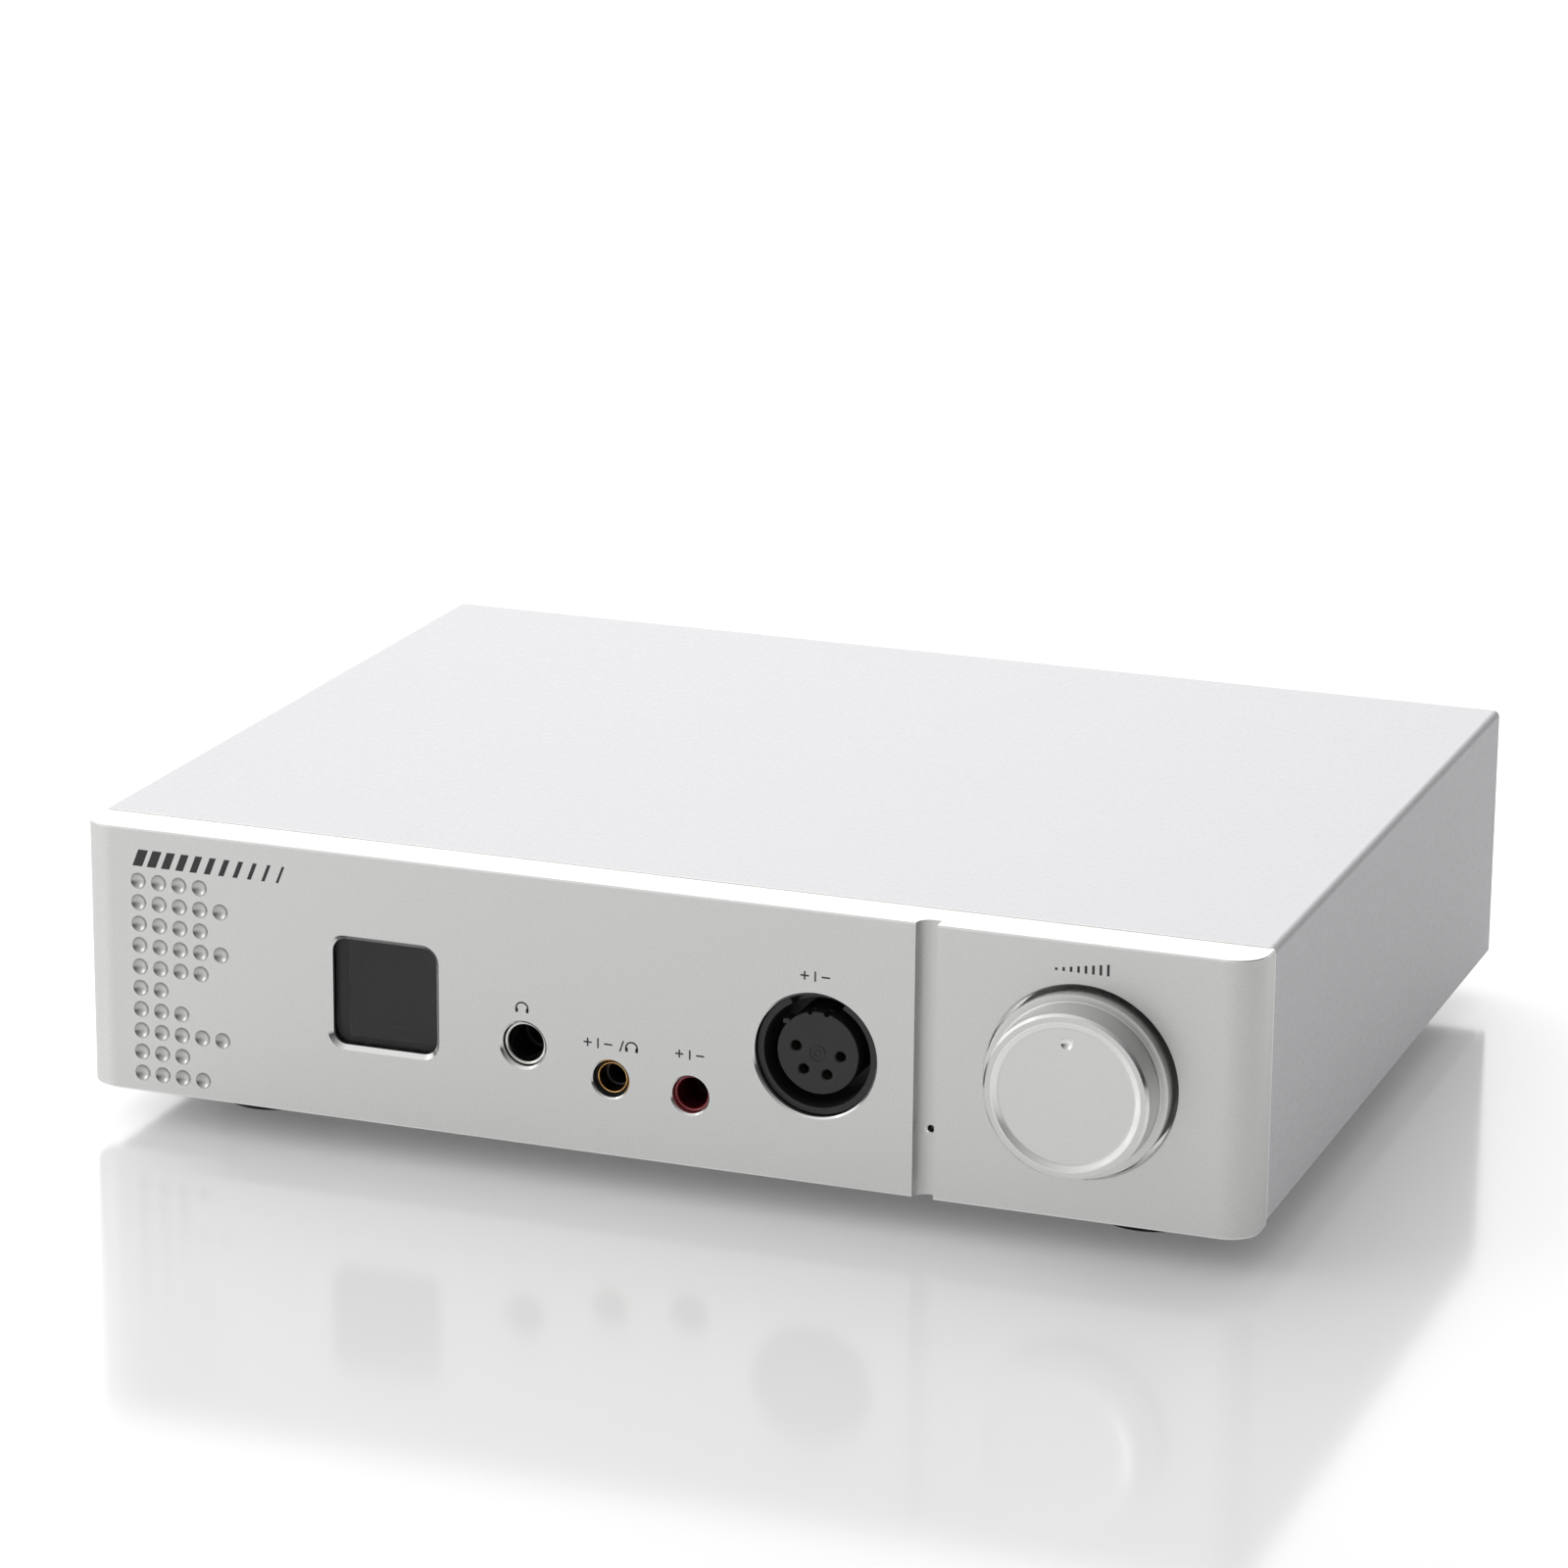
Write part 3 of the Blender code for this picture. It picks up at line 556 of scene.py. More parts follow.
for place in TRAY_SCREWS:
    tools.append(
        turned(
            place,
            [(0, 0), (3.3, 0), (3.1, tray_low.z + 0.01), (1.6, tray_low.z + 1.5), (0, tray_low.z + 1.5)],
            "Z", 32
        )
    )
tray = carved(tray, tools)
piece("bottom_plate_tray", tray, (tray_black, cut_bright), "bottom_plate")
screw_black = finish("screw_black_oxide", (0.03, 0.03, 0.033), 0.38, 0.8, 0.15, 0.2, 0.05, 0.08, 0.004)


def cross_recess(tool_radius, deep):
    """A cutter shaped like the tip of a cross-head driver, along Z with its tip up."""
    arms = []
    for wide, long in ((0.3, 1.0), (1.0, 0.3)):
        ends = []
        for up, share in ((-1.0, 1.0), (deep, 0.45)):
            across, along = tool_radius * wide * share, tool_radius * long * share
            ends.append(
                [(-across, -along, up), (across, -along, up), (across, along, up), (-across, along, up)]
            )
        arms.append(lofted(ends))
    return arms


def screw_head(profile, deep):
    """A cross-head screw about Z, its head's face at zero and facing down."""
    reach = max(radius for radius, _ in profile)
    return carved(turned((0, 0), profile, "Z", 36), cross_recess(reach * 0.55, deep), materials=1)


def copies(shape, places):
    """The same shape at each place."""
    mesh = meshed(shape, "copies")
    whole = bmesh.new()
    for place in places:
        before = len(whole.verts)
        whole.from_mesh(mesh)
        whole.verts.ensure_lookup_table()
        bmesh.ops.transform(whole, matrix=place, verts=whole.verts[before:])
    bpy.data.meshes.remove(mesh)
    return whole


countersunk = screw_head([(0, 0), (2.75, 0), (3.0, 0.15), (1.45, 1.45), (1.45, 5.5), (0, 5.5)], 1.1)
tray_places = [Matrix.Translation((x, depth, tray_low.z + 0.05)) for x, depth in TRAY_SCREWS]
piece("bottom_plate_screws", copies(countersunk, tray_places), (screw_black,))


# Feet: moulded black rubber, each with a grip groove round its side and a recess under it for the cross-head
# screw that holds it to the tray.
rubber = finish(
    "rubber_moulded", (0.018, 0.018, 0.019), 0.72, 0.0, 0.12, 0.35, 0.12, 0.06, 0.02,
    {"Specular IOR Level": 0.35}
)
foot_low, foot_high, _ = drawn("foot_front_left")
base, top = foot_low.z, foot_high.z
foot_profile = [
    (2.3, top), (12.0, top), (12.5, top - 0.5), (12.5, base + 5.3), (12.0, base + 4.9), (12.0, base + 4.3),
    (12.5, base + 3.9), (12.5, base + 2.0), (12.2, base + 0.9), (11.4, base), (6.2, base),
    (5.6, base + 0.5), (5.5, base + 5.0), (2.3, base + 5.0)
]
for name, place in zip(FEET, foot_places):
    foot = eased(turned((place.x, place.y), foot_profile, "Z", 72), 0.15, 2, 30.0)
    piece(f"foot_rubber_{name}", foot, (rubber,), f"foot_{name}")
pan = screw_head(
    [(0, 0), (2.2, 0.05), (3.1, 0.4), (3.5, 1.0), (3.6, 2.2), (1.95, 2.2), (1.95, 9.5), (0, 9.5)], 1.4
)
foot_screw_places = [Matrix.Translation((place.x, place.y, base + 2.8)) for place in foot_places]
piece("foot_screws", copies(pan, foot_screw_places), (screw_black,))


# Rear panel: a flat sheet between the tray and the cover, cut for the inlet and the sockets, held by
# pan-head screws. Plain symbols are printed beside the sockets.
rear_low, rear_high, rear = drawn("rear_panel")
inlet = drawn("mains_inlet")[2]
rear_size = (rear_high.x - rear_low.x, rear_high.z - rear_low.z)
rear_sheet = slab(rounded((rear.x, rear.z), rear_size, 1.0, 4), rear_low.y, SHEET)
eased(rear_sheet, 0.12, 2, 40.0)
SIDES = ("left", "right")
xlr_in = {side: drawn(f"xlr_in_{side}_insert")[2] for side in SIDES}
phono_in = {side: drawn(f"phono_in_{side}")[2] for side in SIDES}
REAR_SCREWS = [(x, up) for x in (-121, 0, 121) for up in (7.6, 52.4)]
before_rear, behind_rear = rear_low.y - 1, rear_high.y + 1
tools = [slab(rounded((inlet.x, inlet.z), (60.6, 29.6), 1.0), before_rear, SHEET + 2)]
XLR_HOLE, PHONO_HOLE, SCREW_HOLE = 12.1, 4.4, 1.6
openings = [((place.x, place.z), XLR_HOLE) for place in xlr_in.values()]
openings += [((place.x, place.z), PHONO_HOLE) for place in phono_in.values()]
openings += [(place, SCREW_HOLE) for place in REAR_SCREWS]
for centre, radius in openings:
    tools.append(rod(centre, radius, before_rear, behind_rear, steps=48))
rear_sheet = carved(rear_sheet, [paint(tool, 1) for tool in tools])
piece("rear_panel_sheet", rear_sheet, (sheet_blasted, cut_bright), "rear_panel")
small_pan = screw_head(
    [(0, 0), (1.5, 0.04), (2.2, 0.3), (2.55, 0.75), (2.6, 1.5), (1.45, 1.5), (1.45, 6.5), (0, 6.5)], 1.0
)
rear_screw_places = [Matrix.Translation((x, rear_high.y + 1.5, up)) @ BACKWARDS for x, up in REAR_SCREWS]
piece("rear_panel_screws", copies(small_pan, rear_screw_places), (screw_black,))
REAR_INK = rear_high.y - 0.03
rear_marks = []
DOT_PITCH, DOT_RADIUS = 1.6, 0.5
for places, rise in ((xlr_in, 18.6), (phono_in, 9.5)):
    for order, place in enumerate(places.values()):
        for dot in range(1 + order):
            centre = (place.x + DOT_PITCH * (dot - order / 2), place.z + rise)
            dot_outline = sweep(centre, (DOT_RADIUS, DOT_RADIUS), 0, 345, 23)
            rear_marks.append(printed(dot_outline, REAR_INK))
phono_middle = (phono_in["left"].x + phono_in["right"].x) / 2
for left, right, up in ((-14, 24, 12.4), (phono_middle - 13, phono_middle + 13, 18.0)):
    middle = (left + right) / 2
    triangle = [(middle - 1, up - 1.8), (middle + 1, up - 1.8), (middle, up - 0.5)]
    rear_marks += [printed(bar(left, up, right - left, LINE), REAR_INK), printed(triangle, REAR_INK)]
piece("rear_marks", gathered(rear_marks), (ink,))


# Display: a smoked glass lens glued behind the window, with a small dark screen module behind it. The screen
# is off, and only its border and two hairline tracks show through the glass.


def glass(name, colour, index, smudges):
    """A see-through finish whose roughness varies with faint smudges."""
    material, tree, shader = new_material(name)
    smudged = add_node(tree, "ShaderNodeGroup", smudges, node_tree=fine_grain)
    looks = {"Base Color": colour, "Transmission Weight": 1.0, "IOR": index}
    feed(tree, shader, {**looks, "Roughness": smudged.outputs["Roughness"]})
    return material


smears = {"Grain": 6.0, "Blotch": 0.03, "Roughness": 0.05, "Rough Spread": 0.02}
smoked_glass = glass("glass_smoked", (0.5, 0.49, 0.5, 1.0), 1.33, smears)
lens = eased(boxed("window_lens", 1.2), 0.12)
piece("window_lens_glass", lens, (smoked_glass,), "window_lens")
screen_black = finish("screen_black", (0.008, 0.008, 0.009), 0.3, 0.0, 0.05, 0.2, 0.02, 0.02, 0.002)
screen_grey = finish("screen_grey", (0.105, 0.092, 0.099), 0.4, 0.0, 0.03, 0.15, 0.02, 0.02, 0.001)
track = finish("screen_track", (0.16, 0.10, 0.07), 0.4, 0.3, 0.05, 0.2, 0.02, 0.02, 0.001)
module_low, _, module = drawn("display_module")
screen = eased(boxed("display_module", 0.8), 0.25)
PROUD = 0.04
active = slab(rounded((module.x + 1.1, module.z + 0.4), (20.6, 21.4), 0.4), module_low.y - PROUD, 2 * PROUD)
hairlines = [
    bar(module.x - 8.6, module.z - 9.0, 0.12, 19.0), bar(module.x - 7.2, module.z - 6.9, 14.5, 0.13)
]
layers = [screen, paint(active, 1)]
layers += [paint(slab(line, module_low.y - 2 * PROUD, 2 * PROUD), 2) for line in hairlines]
piece(
    "display_screen", gathered(layers), (screen_black, screen_grey, track), "display_module",
)


# Headphone sockets: moulded blocks on one board. The large one has a nickel sleeve, the middle one a gold
# ring pressed in its black nose, and the last a glossy red collar.
socket_black = finish("socket_black", (0.012, 0.012, 0.013), 0.36, 0.0, 0.1, 0.3, 0.03, 0.06, 0.004)
nickel = finish("nickel_plated", (0.78, 0.775, 0.75), 0.17, 1.0, 0.02, 0.25, 0.02, 0.05, 0.001)
gold = finish("gold_plated", (0.86, 0.60, 0.27), 0.2, 1.0, 0.03, 0.25, 0.02, 0.05, 0.001)
red_gloss = finish(
    "plastic_red_gloss", (0.27, 0.012, 0.022), 0.2, 0.0, 0.06, 0.3, 0.03, 0.04, 0.001, {"Coat Weight": 0.6}
)
# Very dark red for the red socket's block and the inside of its collar: painted shade down the bore.
red_painted_shade = finish("plastic_red_painted_shade", (0.05, 0.003, 0.005), 0.35, 0.0, 0.06, 0.3, 0.03, 0.04, 0.002)
BLOCK_FRONT = thickness + 0.3


def socket_block(node, centre, bore, bore_end, nose=None):
    """The moulded block behind a headphone socket, bored for the plug."""
    low = drawn(node)[0]
    block = eased(boxed(node, 0.6, 3, BLOCK_FRONT if nose else None), 0.3)
    if nose:
        barrel = turned(
            centre,
            [
                (0, low.y + 0.2), (nose - 0.25, low.y), (nose, low.y + 0.25), (nose, BLOCK_FRONT + 1),
                (0, BLOCK_FRONT + 1)
            ]
        )
        block = carved(block, [barrel], "UNION")
    cutter = turned(
        centre, [(0, low.y - 1), (bore, low.y - 1), (bore, bore_end), (0, bore_end + 0.8)], steps=48
    )
    return carved(block, [cutter])


place_635, place_44, place_red = ((p.x, p.z) for p in (jack_635, jack_44, jack_red))
piece(
    "jack_635_block", socket_block("jack_635_body", place_635, 3.35, 33.0), (socket_black,),
    "jack_635_body"
)
sleeve = turned(
    place_635,
    [
        (4.7, 10.7), (4.7, 1.75), (4.62, 1.5), (4.42, 1.4), (4.2, 1.45), (4.05, 1.65), (3.98, 2.1),
        (3.6, 3.1), (3.6, 10.7)
    ],
    steps=96
)
piece("jack_635_sleeve", sleeve, (nickel,), "jack_635_ferrule", crease=50.0)
nose_44 = socket_block("jack_44_body", place_44, 3.62, 4.8, nose=3.95)
inner_bore = turned(place_44, [(0, 0), (2.4, 0), (2.4, 27.5), (0, 28.2)], steps=48)
piece("jack_44_block", carved(nose_44, [inner_bore]), (socket_black,), "jack_44_body")
gold_ring = turned(
    place_44,
    [(3.38, 4.5), (3.38, 1.6), (3.33, 1.4), (3.2, 1.3), (3.07, 1.4), (3.0, 1.65), (2.9, 2.6), (2.66, 4.5)],
    steps=80
)
piece("jack_44_gold_ring", gold_ring, (gold,), "jack_44_ring", crease=50.0)
piece(
    "jack_red_block", socket_block("jack_red_body", place_red, 2.4, 25.5), (red_painted_shade,), "jack_red_body",
)
collar = turned(
    place_red,
    [
        (3.95, 10.7), (3.95, 1.75), (3.86, 1.5), (3.66, 1.4), (3.46, 1.48), (3.34, 1.75), (3.2, 2.6),
        (2.95, 10.7)
    ],
    steps=80
)


def in_bore(face):
    middle = face.calc_center_median()
    return middle.y > 1.8 and math.hypot(middle.x - jack_red.x, middle.z - jack_red.z) < 3.4


# The faces inside the bore take the very dark red, as painted shade.
paint(collar, 1, in_bore)
piece("jack_red_ring", collar, (red_gloss, red_painted_shade), "jack_red_collar", crease=50.0)


# Balanced headphone socket: a black moulded shell whose rim is open at the top for the plug's key, round an
# insert with four contact holes, a moulding mark at its middle and a small lug at the left.
shell_black = finish("shell_black_satin", (0.017, 0.017, 0.018), 0.33, 0.0, 0.1, 0.4, 0.03, 0.06, 0.006)
insert_black = finish("insert_black_matt", (0.022, 0.022, 0.024), 0.46, 0.0, 0.12, 0.25, 0.04, 0.08, 0.01)
XLR = (xlr4.x, xlr4.z)
SHELL_RIM, SHELL_WELL, WELL_FLOOR = 13.1, 11.3, 14.0
xlr_block = eased(boxed("xlr4_shell", 1.2, 4, BLOCK_FRONT), 0.35)
barrel = turned(
    XLR,
    [
        (0, 1.65), (12.75, 1.6), (13.0, 1.68), (SHELL_RIM, 1.9), (SHELL_RIM, BLOCK_FRONT + 1),
        (0, BLOCK_FRONT + 1)
    ],
    steps=128
)
well = turned(
    XLR,
    [
        (0, 0), (SHELL_WELL + 0.6, 0), (SHELL_WELL + 0.3, 1.7), (SHELL_WELL, 2.2),
        (SHELL_WELL - 0.1, WELL_FLOOR), (0, WELL_FLOOR)
    ],
    steps=128
)
key_span = sweep(XLR, (12.75, 12.75), 118, 62, 12) + sweep(XLR, (8, 8), 62, 118, 4)
keyway = slab(key_span, 0, 4.6)
xlr_shell = carved(carved(xlr_block, [barrel], "UNION"), [well, keyway])
piece("xlr4_shell_moulded", xlr_shell, (shell_black,), "xlr4_shell")
INSERT_FACE, INSERT_RADIUS = 2.0, 8.85
insert = turned(
    XLR,
    [
        (0, INSERT_FACE), (8.55, INSERT_FACE), (8.78, INSERT_FACE + 0.1),
        (INSERT_RADIUS, INSERT_FACE + 0.35), (INSERT_RADIUS, 13.7), (0, 13.7)
    ],
    steps=112
)


def contact_hole(centre, front, radius, end):
    return turned(
        centre,
        [(0, front - 1), (radius + 1.25, front - 1), (radius, front + 0.25), (radius, end), (0, end + 0.5)],
        steps=32
    )


CONTACT_CIRCLE, NOTCH_CIRCLE, LUG_CIRCLE = (4.9, 4.9), (8.75, 8.75), (9.2, 9.2)
contacts = sweep(XLR, CONTACT_CIRCLE, 168, 357, 3)
tools = [contact_hole(place, INSERT_FACE, 1.1, 12.0) for place in contacts]
for outer, inner in ((1.75, 1.55), (0.75, 0.58)):
    tools.append(
        turned(
            XLR, [(outer, 1), (outer, INSERT_FACE + 0.12), (inner, INSERT_FACE + 0.12), (inner, 1)],
            steps=48
        )
    )
for place, radius in zip(sweep(XLR, NOTCH_CIRCLE, 102, 78, 1), (0.5, 0.6)):
    tools.append(rod(place, radius, 1, 5, steps=20))
insert = carved(insert, tools)
lug = sweep(XLR, LUG_CIRCLE, 138, 138, 1)[0]
insert = gathered([insert, eased(slab(rounded(lug, (1.5, 1.1), 0.3, 3), 1.9, 3), 0.12)])
piece("xlr4_insert_moulded", insert, (insert_black,), "xlr4_insert")
contact_sleeves = [
    turned(place, [(1.06, 7.2), (0.98, 7.0), (0.75, 7.1), (0.72, 11.0), (1.06, 11.0)], steps=28)
    for place in contacts
]
piece("xlr4_contacts", gathered(contact_sleeves), (gold,))


# Indicator: a small dark lens on the control board, seen through a hole in the groove. Its round nose ends
# inside the hole.
led_low, _, led = drawn("indicator_led")
dark_lens = finish(
    "lens_dark", (0.012, 0.008, 0.012), 0.12, 0.0, 0.05, 0.4, 0.02, 0.03, 0.001, {"Coat Weight": 0.5}
)
led_body = eased(boxed("indicator_led", 0.5, 3, BLOCK_FRONT), 0.2)
dome = sweep((0, 0), (0.78, 0.7), -90, 0, 8)
led_tip = [
    (across, led_low.y + 0.7 + along) for across, along in dome
] + [(0.78, BLOCK_FRONT + 1), (0, BLOCK_FRONT + 1)]
led_nose = turned((led.x, led.z), led_tip, steps=32)
piece(
    "indicator_lens", carved(led_body, [led_nose], "UNION"), (dark_lens,), "indicator_led"
)


# Volume knob: turned from aluminium bar and blasted like the panel. Its face is dished inside a bright cut
# rim, with one small dimple that shows how far it has turned, and its skirt runs in the recess.
turned_marks, given, result = new_group(
    "turned_marks", {"Colour": (0.8, 0.8, 0.79, 1.0), "Roughness": 0.3, "Depth": 0.06},
    ("Colour", "Roughness", "Height")
)
spot = add_node(turned_marks, "ShaderNodeTexCoord").outputs["Object"]
KNOB = (knob.x, knob.z)
hub = DRAWING @ Vector((knob.x, 0, knob.z))
centred = add_node(
    turned_marks, "ShaderNodeMapping",
    {"Vector": spot, "Location": (-hub.x, 0.0, -hub.z), "Scale": (1.0, 0.0, 1.0)}
)
reach = add_node(
    turned_marks, "ShaderNodeVectorMath", {0: centred.outputs[0]}, operation="LENGTH"
).outputs["Value"]
rings = add_node(
    turned_marks, "ShaderNodeTexNoise",
    {"W": maths(turned_marks, "MULTIPLY", reach, 9000.0), "Scale": 1.0, "Detail": 2.0},
    noise_dimensions="1D"
)
swing = maths(turned_marks, "MULTIPLY_ADD", rings.outputs[0], 2.0, -1.0)
shade = maths(turned_marks, "MULTIPLY_ADD", swing, given["Depth"], 1.0)
tinted = scaled(turned_marks, given["Colour"], shade)
rough = maths(turned_marks, "MULTIPLY_ADD", swing, given["Depth"], given["Roughness"])
feed(turned_marks, result, {"Colour": tinted, "Roughness": rough, "Height": rings.outputs[0]})


knob_side = finish("aluminium_knob_blasted", (0.72, 0.725, 0.712), 0.38, 1.0, 0.06, 0.35, 0.01, 0.05, 0.004)
lathe_rings = {"Colour": (0.73, 0.73, 0.72, 1.0), "Roughness": 0.3, "Depth": 0.06}
knob_face = surface("aluminium_knob_face", turned_marks, lathe_rings, 1.0, 0.005)
knob_low, knob_high, _ = drawn("volume_knob")
face = knob_low.y
SKIRT, DISH = -3.0, 0.7
knob_profile = [
    (0, face + DISH), (13.9, face + DISH), (14.5, face + DISH - 0.12), (15.4, face + 0.12), (15.75, face),
    (16.85, face), (17.4, face + 0.55), (17.45, face + 1.2), (17.6, SKIRT - 0.5), (17.75, SKIRT - 0.12),
    (18.0, SKIRT), (19.05, SKIRT), (19.3, SKIRT + 0.1), (19.4, SKIRT + 0.35), (19.4, knob_high.y),
    (8.0, knob_high.y), (8.0, 1.5), (3.3, 1.5), (3.3, -5.5), (0, -5.5)
]
knob_shape = turned(KNOB, knob_profile, steps=180)


def knob_part(face_of):
    """Which finish a face of the knob takes: blasted side, lathe-turned dish or bright cut rim."""
    middle = face_of.calc_center_median()
    out = math.hypot(middle.x - KNOB[0], middle.z - KNOB[1])
    if middle.y < face + 0.56 and 14.5 < out < 17.5 and not (15.8 < out < 16.8):
        return 2
    if middle.y < face + DISH + 0.01 and out < 14.5:
        return 1
    return 0


for one in knob_shape.faces:
    one.material_index = knob_part(one)
POINTER = (KNOB[0], KNOB[1] + 11.2)
pointer = bmesh.new()
pointer_place = Matrix.Translation((POINTER[0], face + DISH - 1.1, POINTER[1])) @ BACKWARDS
bmesh.ops.create_uvsphere(pointer, u_segments=40, v_segments=28, radius=1.75, matrix=pointer_place)
grub_hole = rod((KNOB[0], -1.0), 1.6, KNOB[1] - 22, KNOB[1] - 2, "Z", 28)
knob_shape = carved(knob_shape, [paint(pointer, 2), grub_hole])
piece(
    "volume_knob_turned", knob_shape, (knob_side, knob_face, cut_bright), "volume_knob",
    body="volume_knob", crease=24.0
)


# Mains inlet: one black housing clipped in from the back, with the socket and its three blades, a slot for
# the fuse drawer under it and an opening for the rocker beside it.
inlet_black = finish("inlet_black", (0.016, 0.016, 0.017), 0.42, 0.0, 0.12, 0.3, 0.04, 0.08, 0.012)
inlet_low, inlet_high, inlet = drawn("mains_inlet")
INLET = (inlet.x, inlet.z)
flange_front = inlet_high.y - 2.5
PINS = ("inlet_pin_line", "inlet_pin_neutral", "inlet_pin_earth")
socket_pins = [drawn(pin)[2] for pin in PINS]
SOCKET_HALF, SOCKET_LOW, SOCKET_SHOULDER, SOCKET_TOP, SOCKET_NECK = 12.2, -8.0, 3.5, 8.0, 7.2
socket_x = socket_pins[2].x
socket_z = socket_pins[2].z - 2.0
flange = eased(slab(rounded(INLET, (66.0, 33.0), 2.5), flange_front, inlet_high.y - flange_front), 0.5, 3)
inlet_body = slab(rounded(INLET, (60.0, 29.0), 1.0), inlet_low.y, flange_front + 1 - inlet_low.y)
eased(inlet_body, 0.3)
housing = carved(flange, [inlet_body], "UNION")
socket_half = [(SOCKET_HALF, SOCKET_LOW), (SOCKET_HALF, SOCKET_SHOULDER), (SOCKET_NECK, SOCKET_TOP)]
socket_outline = [(socket_x - SOCKET_HALF, socket_z + SOCKET_LOW)]
socket_outline += [(socket_x + out, socket_z + up) for out, up in socket_half]
socket_outline += [(socket_x - out, socket_z + up) for out, up in reversed(socket_half[1:])]
outside = inlet_high.y + 1
SOCKET_FLOOR, DRAWER_FLOOR, ROCKER_FLOOR, PIN_FLOOR = 187.0, 186.0, 189.0, 180.0
socket_well = slab(socket_outline, SOCKET_FLOOR, outside - SOCKET_FLOOR)
eased(socket_well, 1.1, 4, 20.0, lambda edge: abs(edge.verts[0].co.y - edge.verts[1].co.y) > 5)
drawer_low, drawer_high, drawer_middle = drawn("fuse_drawer")
rocker_joint = next(joint for joint in frame["joints"] if joint["name"] == "power_rock")
pivot = DRAWING.inverted() @ Vector(rocker_joint["pos_m"])
drawer_slot = slab(
    rounded((drawer_middle.x, drawer_middle.z), (24.0, 6.5), 0.4, 3), DRAWER_FLOOR, outside - DRAWER_FLOOR
)
rocker_slot = slab(rounded((pivot.x, pivot.z), (13.4, 21.4), 0.8, 4), ROCKER_FLOOR, outside - ROCKER_FLOOR)
SEAT_RADIUS, SEAT_REACH = 1.6, 8.2
seat = rod((0, 0), SEAT_RADIUS, pivot.x - SEAT_REACH, pivot.x + SEAT_REACH, "Z", 28)
moved(seat, Matrix.Translation((0, pivot.y, pivot.z)) @ ACROSS)
tools = [socket_well, drawer_slot, rocker_slot, seat]
for pin in socket_pins:
    tools.append(slab(rounded((pin.x, pin.z), (2.6, 4.6), 0.3, 3), PIN_FLOOR, 8))
RIM = 0.35
tools.append(slab(rounded((pivot.x, pivot.z), (15.6, 23.6), 1.4, 4), inlet_high.y - RIM, 2))
housing = carved(housing, tools)
piece("mains_inlet_housing", housing, (inlet_black,), "mains_inlet")
pins = []
for name, pin in zip(PINS, socket_pins):
    low, high, _ = drawn(name)
    blade = slab(rounded((pin.x, pin.z), (2.0, 4.0), 0.25, 3), low.y, high.y - low.y)
    eased(blade, 0.6, 3, 60.0, lambda edge, end=high.y: min(v.co.y for v in edge.verts) > end - 0.01)
    pins.append(blade)
piece("mains_inlet_blades", gathered(pins), (nickel,), PINS)


# Fuse drawer: a moulded tray with a finger notch that slides out under the socket. Its fuse lies in a bay, a
# clear tube with a wire between two nickel caps.
drawer_shape = eased(boxed("fuse_drawer", 0.35, 3), 0.3)
fuse = drawn("fuse")[2]
bay = tile(rounded((drawer_middle.x, 195.0), (21.0, 5.6), 0.5, 3), 18.4, 6)
notch = tile(rounded((drawer_middle.x, 203.4), (7.0, 3.0), 1.2, 5), 21.6, 3)
grip_lines = []
for number in range(5):
    line = rounded((drawer_middle.x - 8 + 4 * number, drawer_low.z + 1.7), (2.6, 0.35), 0.15, 2)
    grip_lines.append(slab(line, drawer_high.y - 0.25, 1))
drawer_shape = carved(drawer_shape, [bay, notch, *grip_lines])
piece(
    "fuse_drawer_moulded", drawer_shape, (inlet_black,), "fuse_drawer", body="fuse_drawer"
)
streaks = {"Grain": 2.0, "Blotch": 0.02, "Roughness": 0.04, "Rough Spread": 0.02}
clear_glass = glass("glass_clear", (0.95, 0.97, 0.96, 1.0), 1.5, streaks)
FUSE_RADIUS, CAP, FUSE_HALF = 2.2, 4.6, 10.0
fuse_parts = []
for side in (-1, 1):
    cap_profile = [
        (0, side * FUSE_HALF), (FUSE_RADIUS - 0.25, side * FUSE_HALF),
        (FUSE_RADIUS, side * (FUSE_HALF - 0.25)), (FUSE_RADIUS, side * (FUSE_HALF - CAP)),
        (0, side * (FUSE_HALF - CAP))
    ]
    fuse_parts.append(turned((0, 0), cap_profile, "Z", 32))
wire = rod((0, 0), 0.12, -FUSE_HALF + CAP, FUSE_HALF - CAP, "Z", 8)
fuse_parts.append(wire)
tube_profile = [
    (1.95, -FUSE_HALF + CAP - 0.5), (1.95, FUSE_HALF - CAP + 0.5), (1.5, FUSE_HALF - CAP + 0.5),
    (1.5, -FUSE_HALF + CAP - 0.5)
]
fuse_parts.append(paint(turned((0, 0), tube_profile, "Z", 32), 1))
fuse_shape = gathered(fuse_parts)
moved(fuse_shape, Matrix.Translation(fuse) @ ACROSS)
piece("fuse_glass_tube", fuse_shape, (nickel, clear_glass), "fuse", body="fuse_drawer")


# Power rocker: a moulded key with a hollow face, tipped on two stub pins. A white line and a white ring mark
# its two ends and follow the hollow.
rocker_black = finish("rocker_black", (0.014, 0.014, 0.015), 0.27, 0.0, 0.08, 0.3, 0.03, 0.05, 0.004)
white_ink = finish("ink_white", (0.75, 0.75, 0.74), 0.5, 0.0, 0.05, 0.1, 0.02, 0.05, 0.002)
TILT = math.radians(-7.0)
HOLLOW_EDGE, HOLLOW_MIDDLE, ROCKER_REACH = 7.0, 5.0, 9.2
hollow = []
for step in range(17):
    up = ROCKER_REACH * (1 - step / 8)
    hollow.append((HOLLOW_MIDDLE + (HOLLOW_EDGE - HOLLOW_MIDDLE) * (up / ROCKER_REACH) ** 2, up))
profile = [(-5, -7), (-5, 7), (3.5, ROCKER_REACH)] + hollow + [(3.5, -ROCKER_REACH)]
rocker = plate([(pivot.x - 6.3, pivot.y + out, pivot.z + up) for out, up in profile], (12.6, 0, 0))
eased(rocker, 0.35, 3, 40.0)
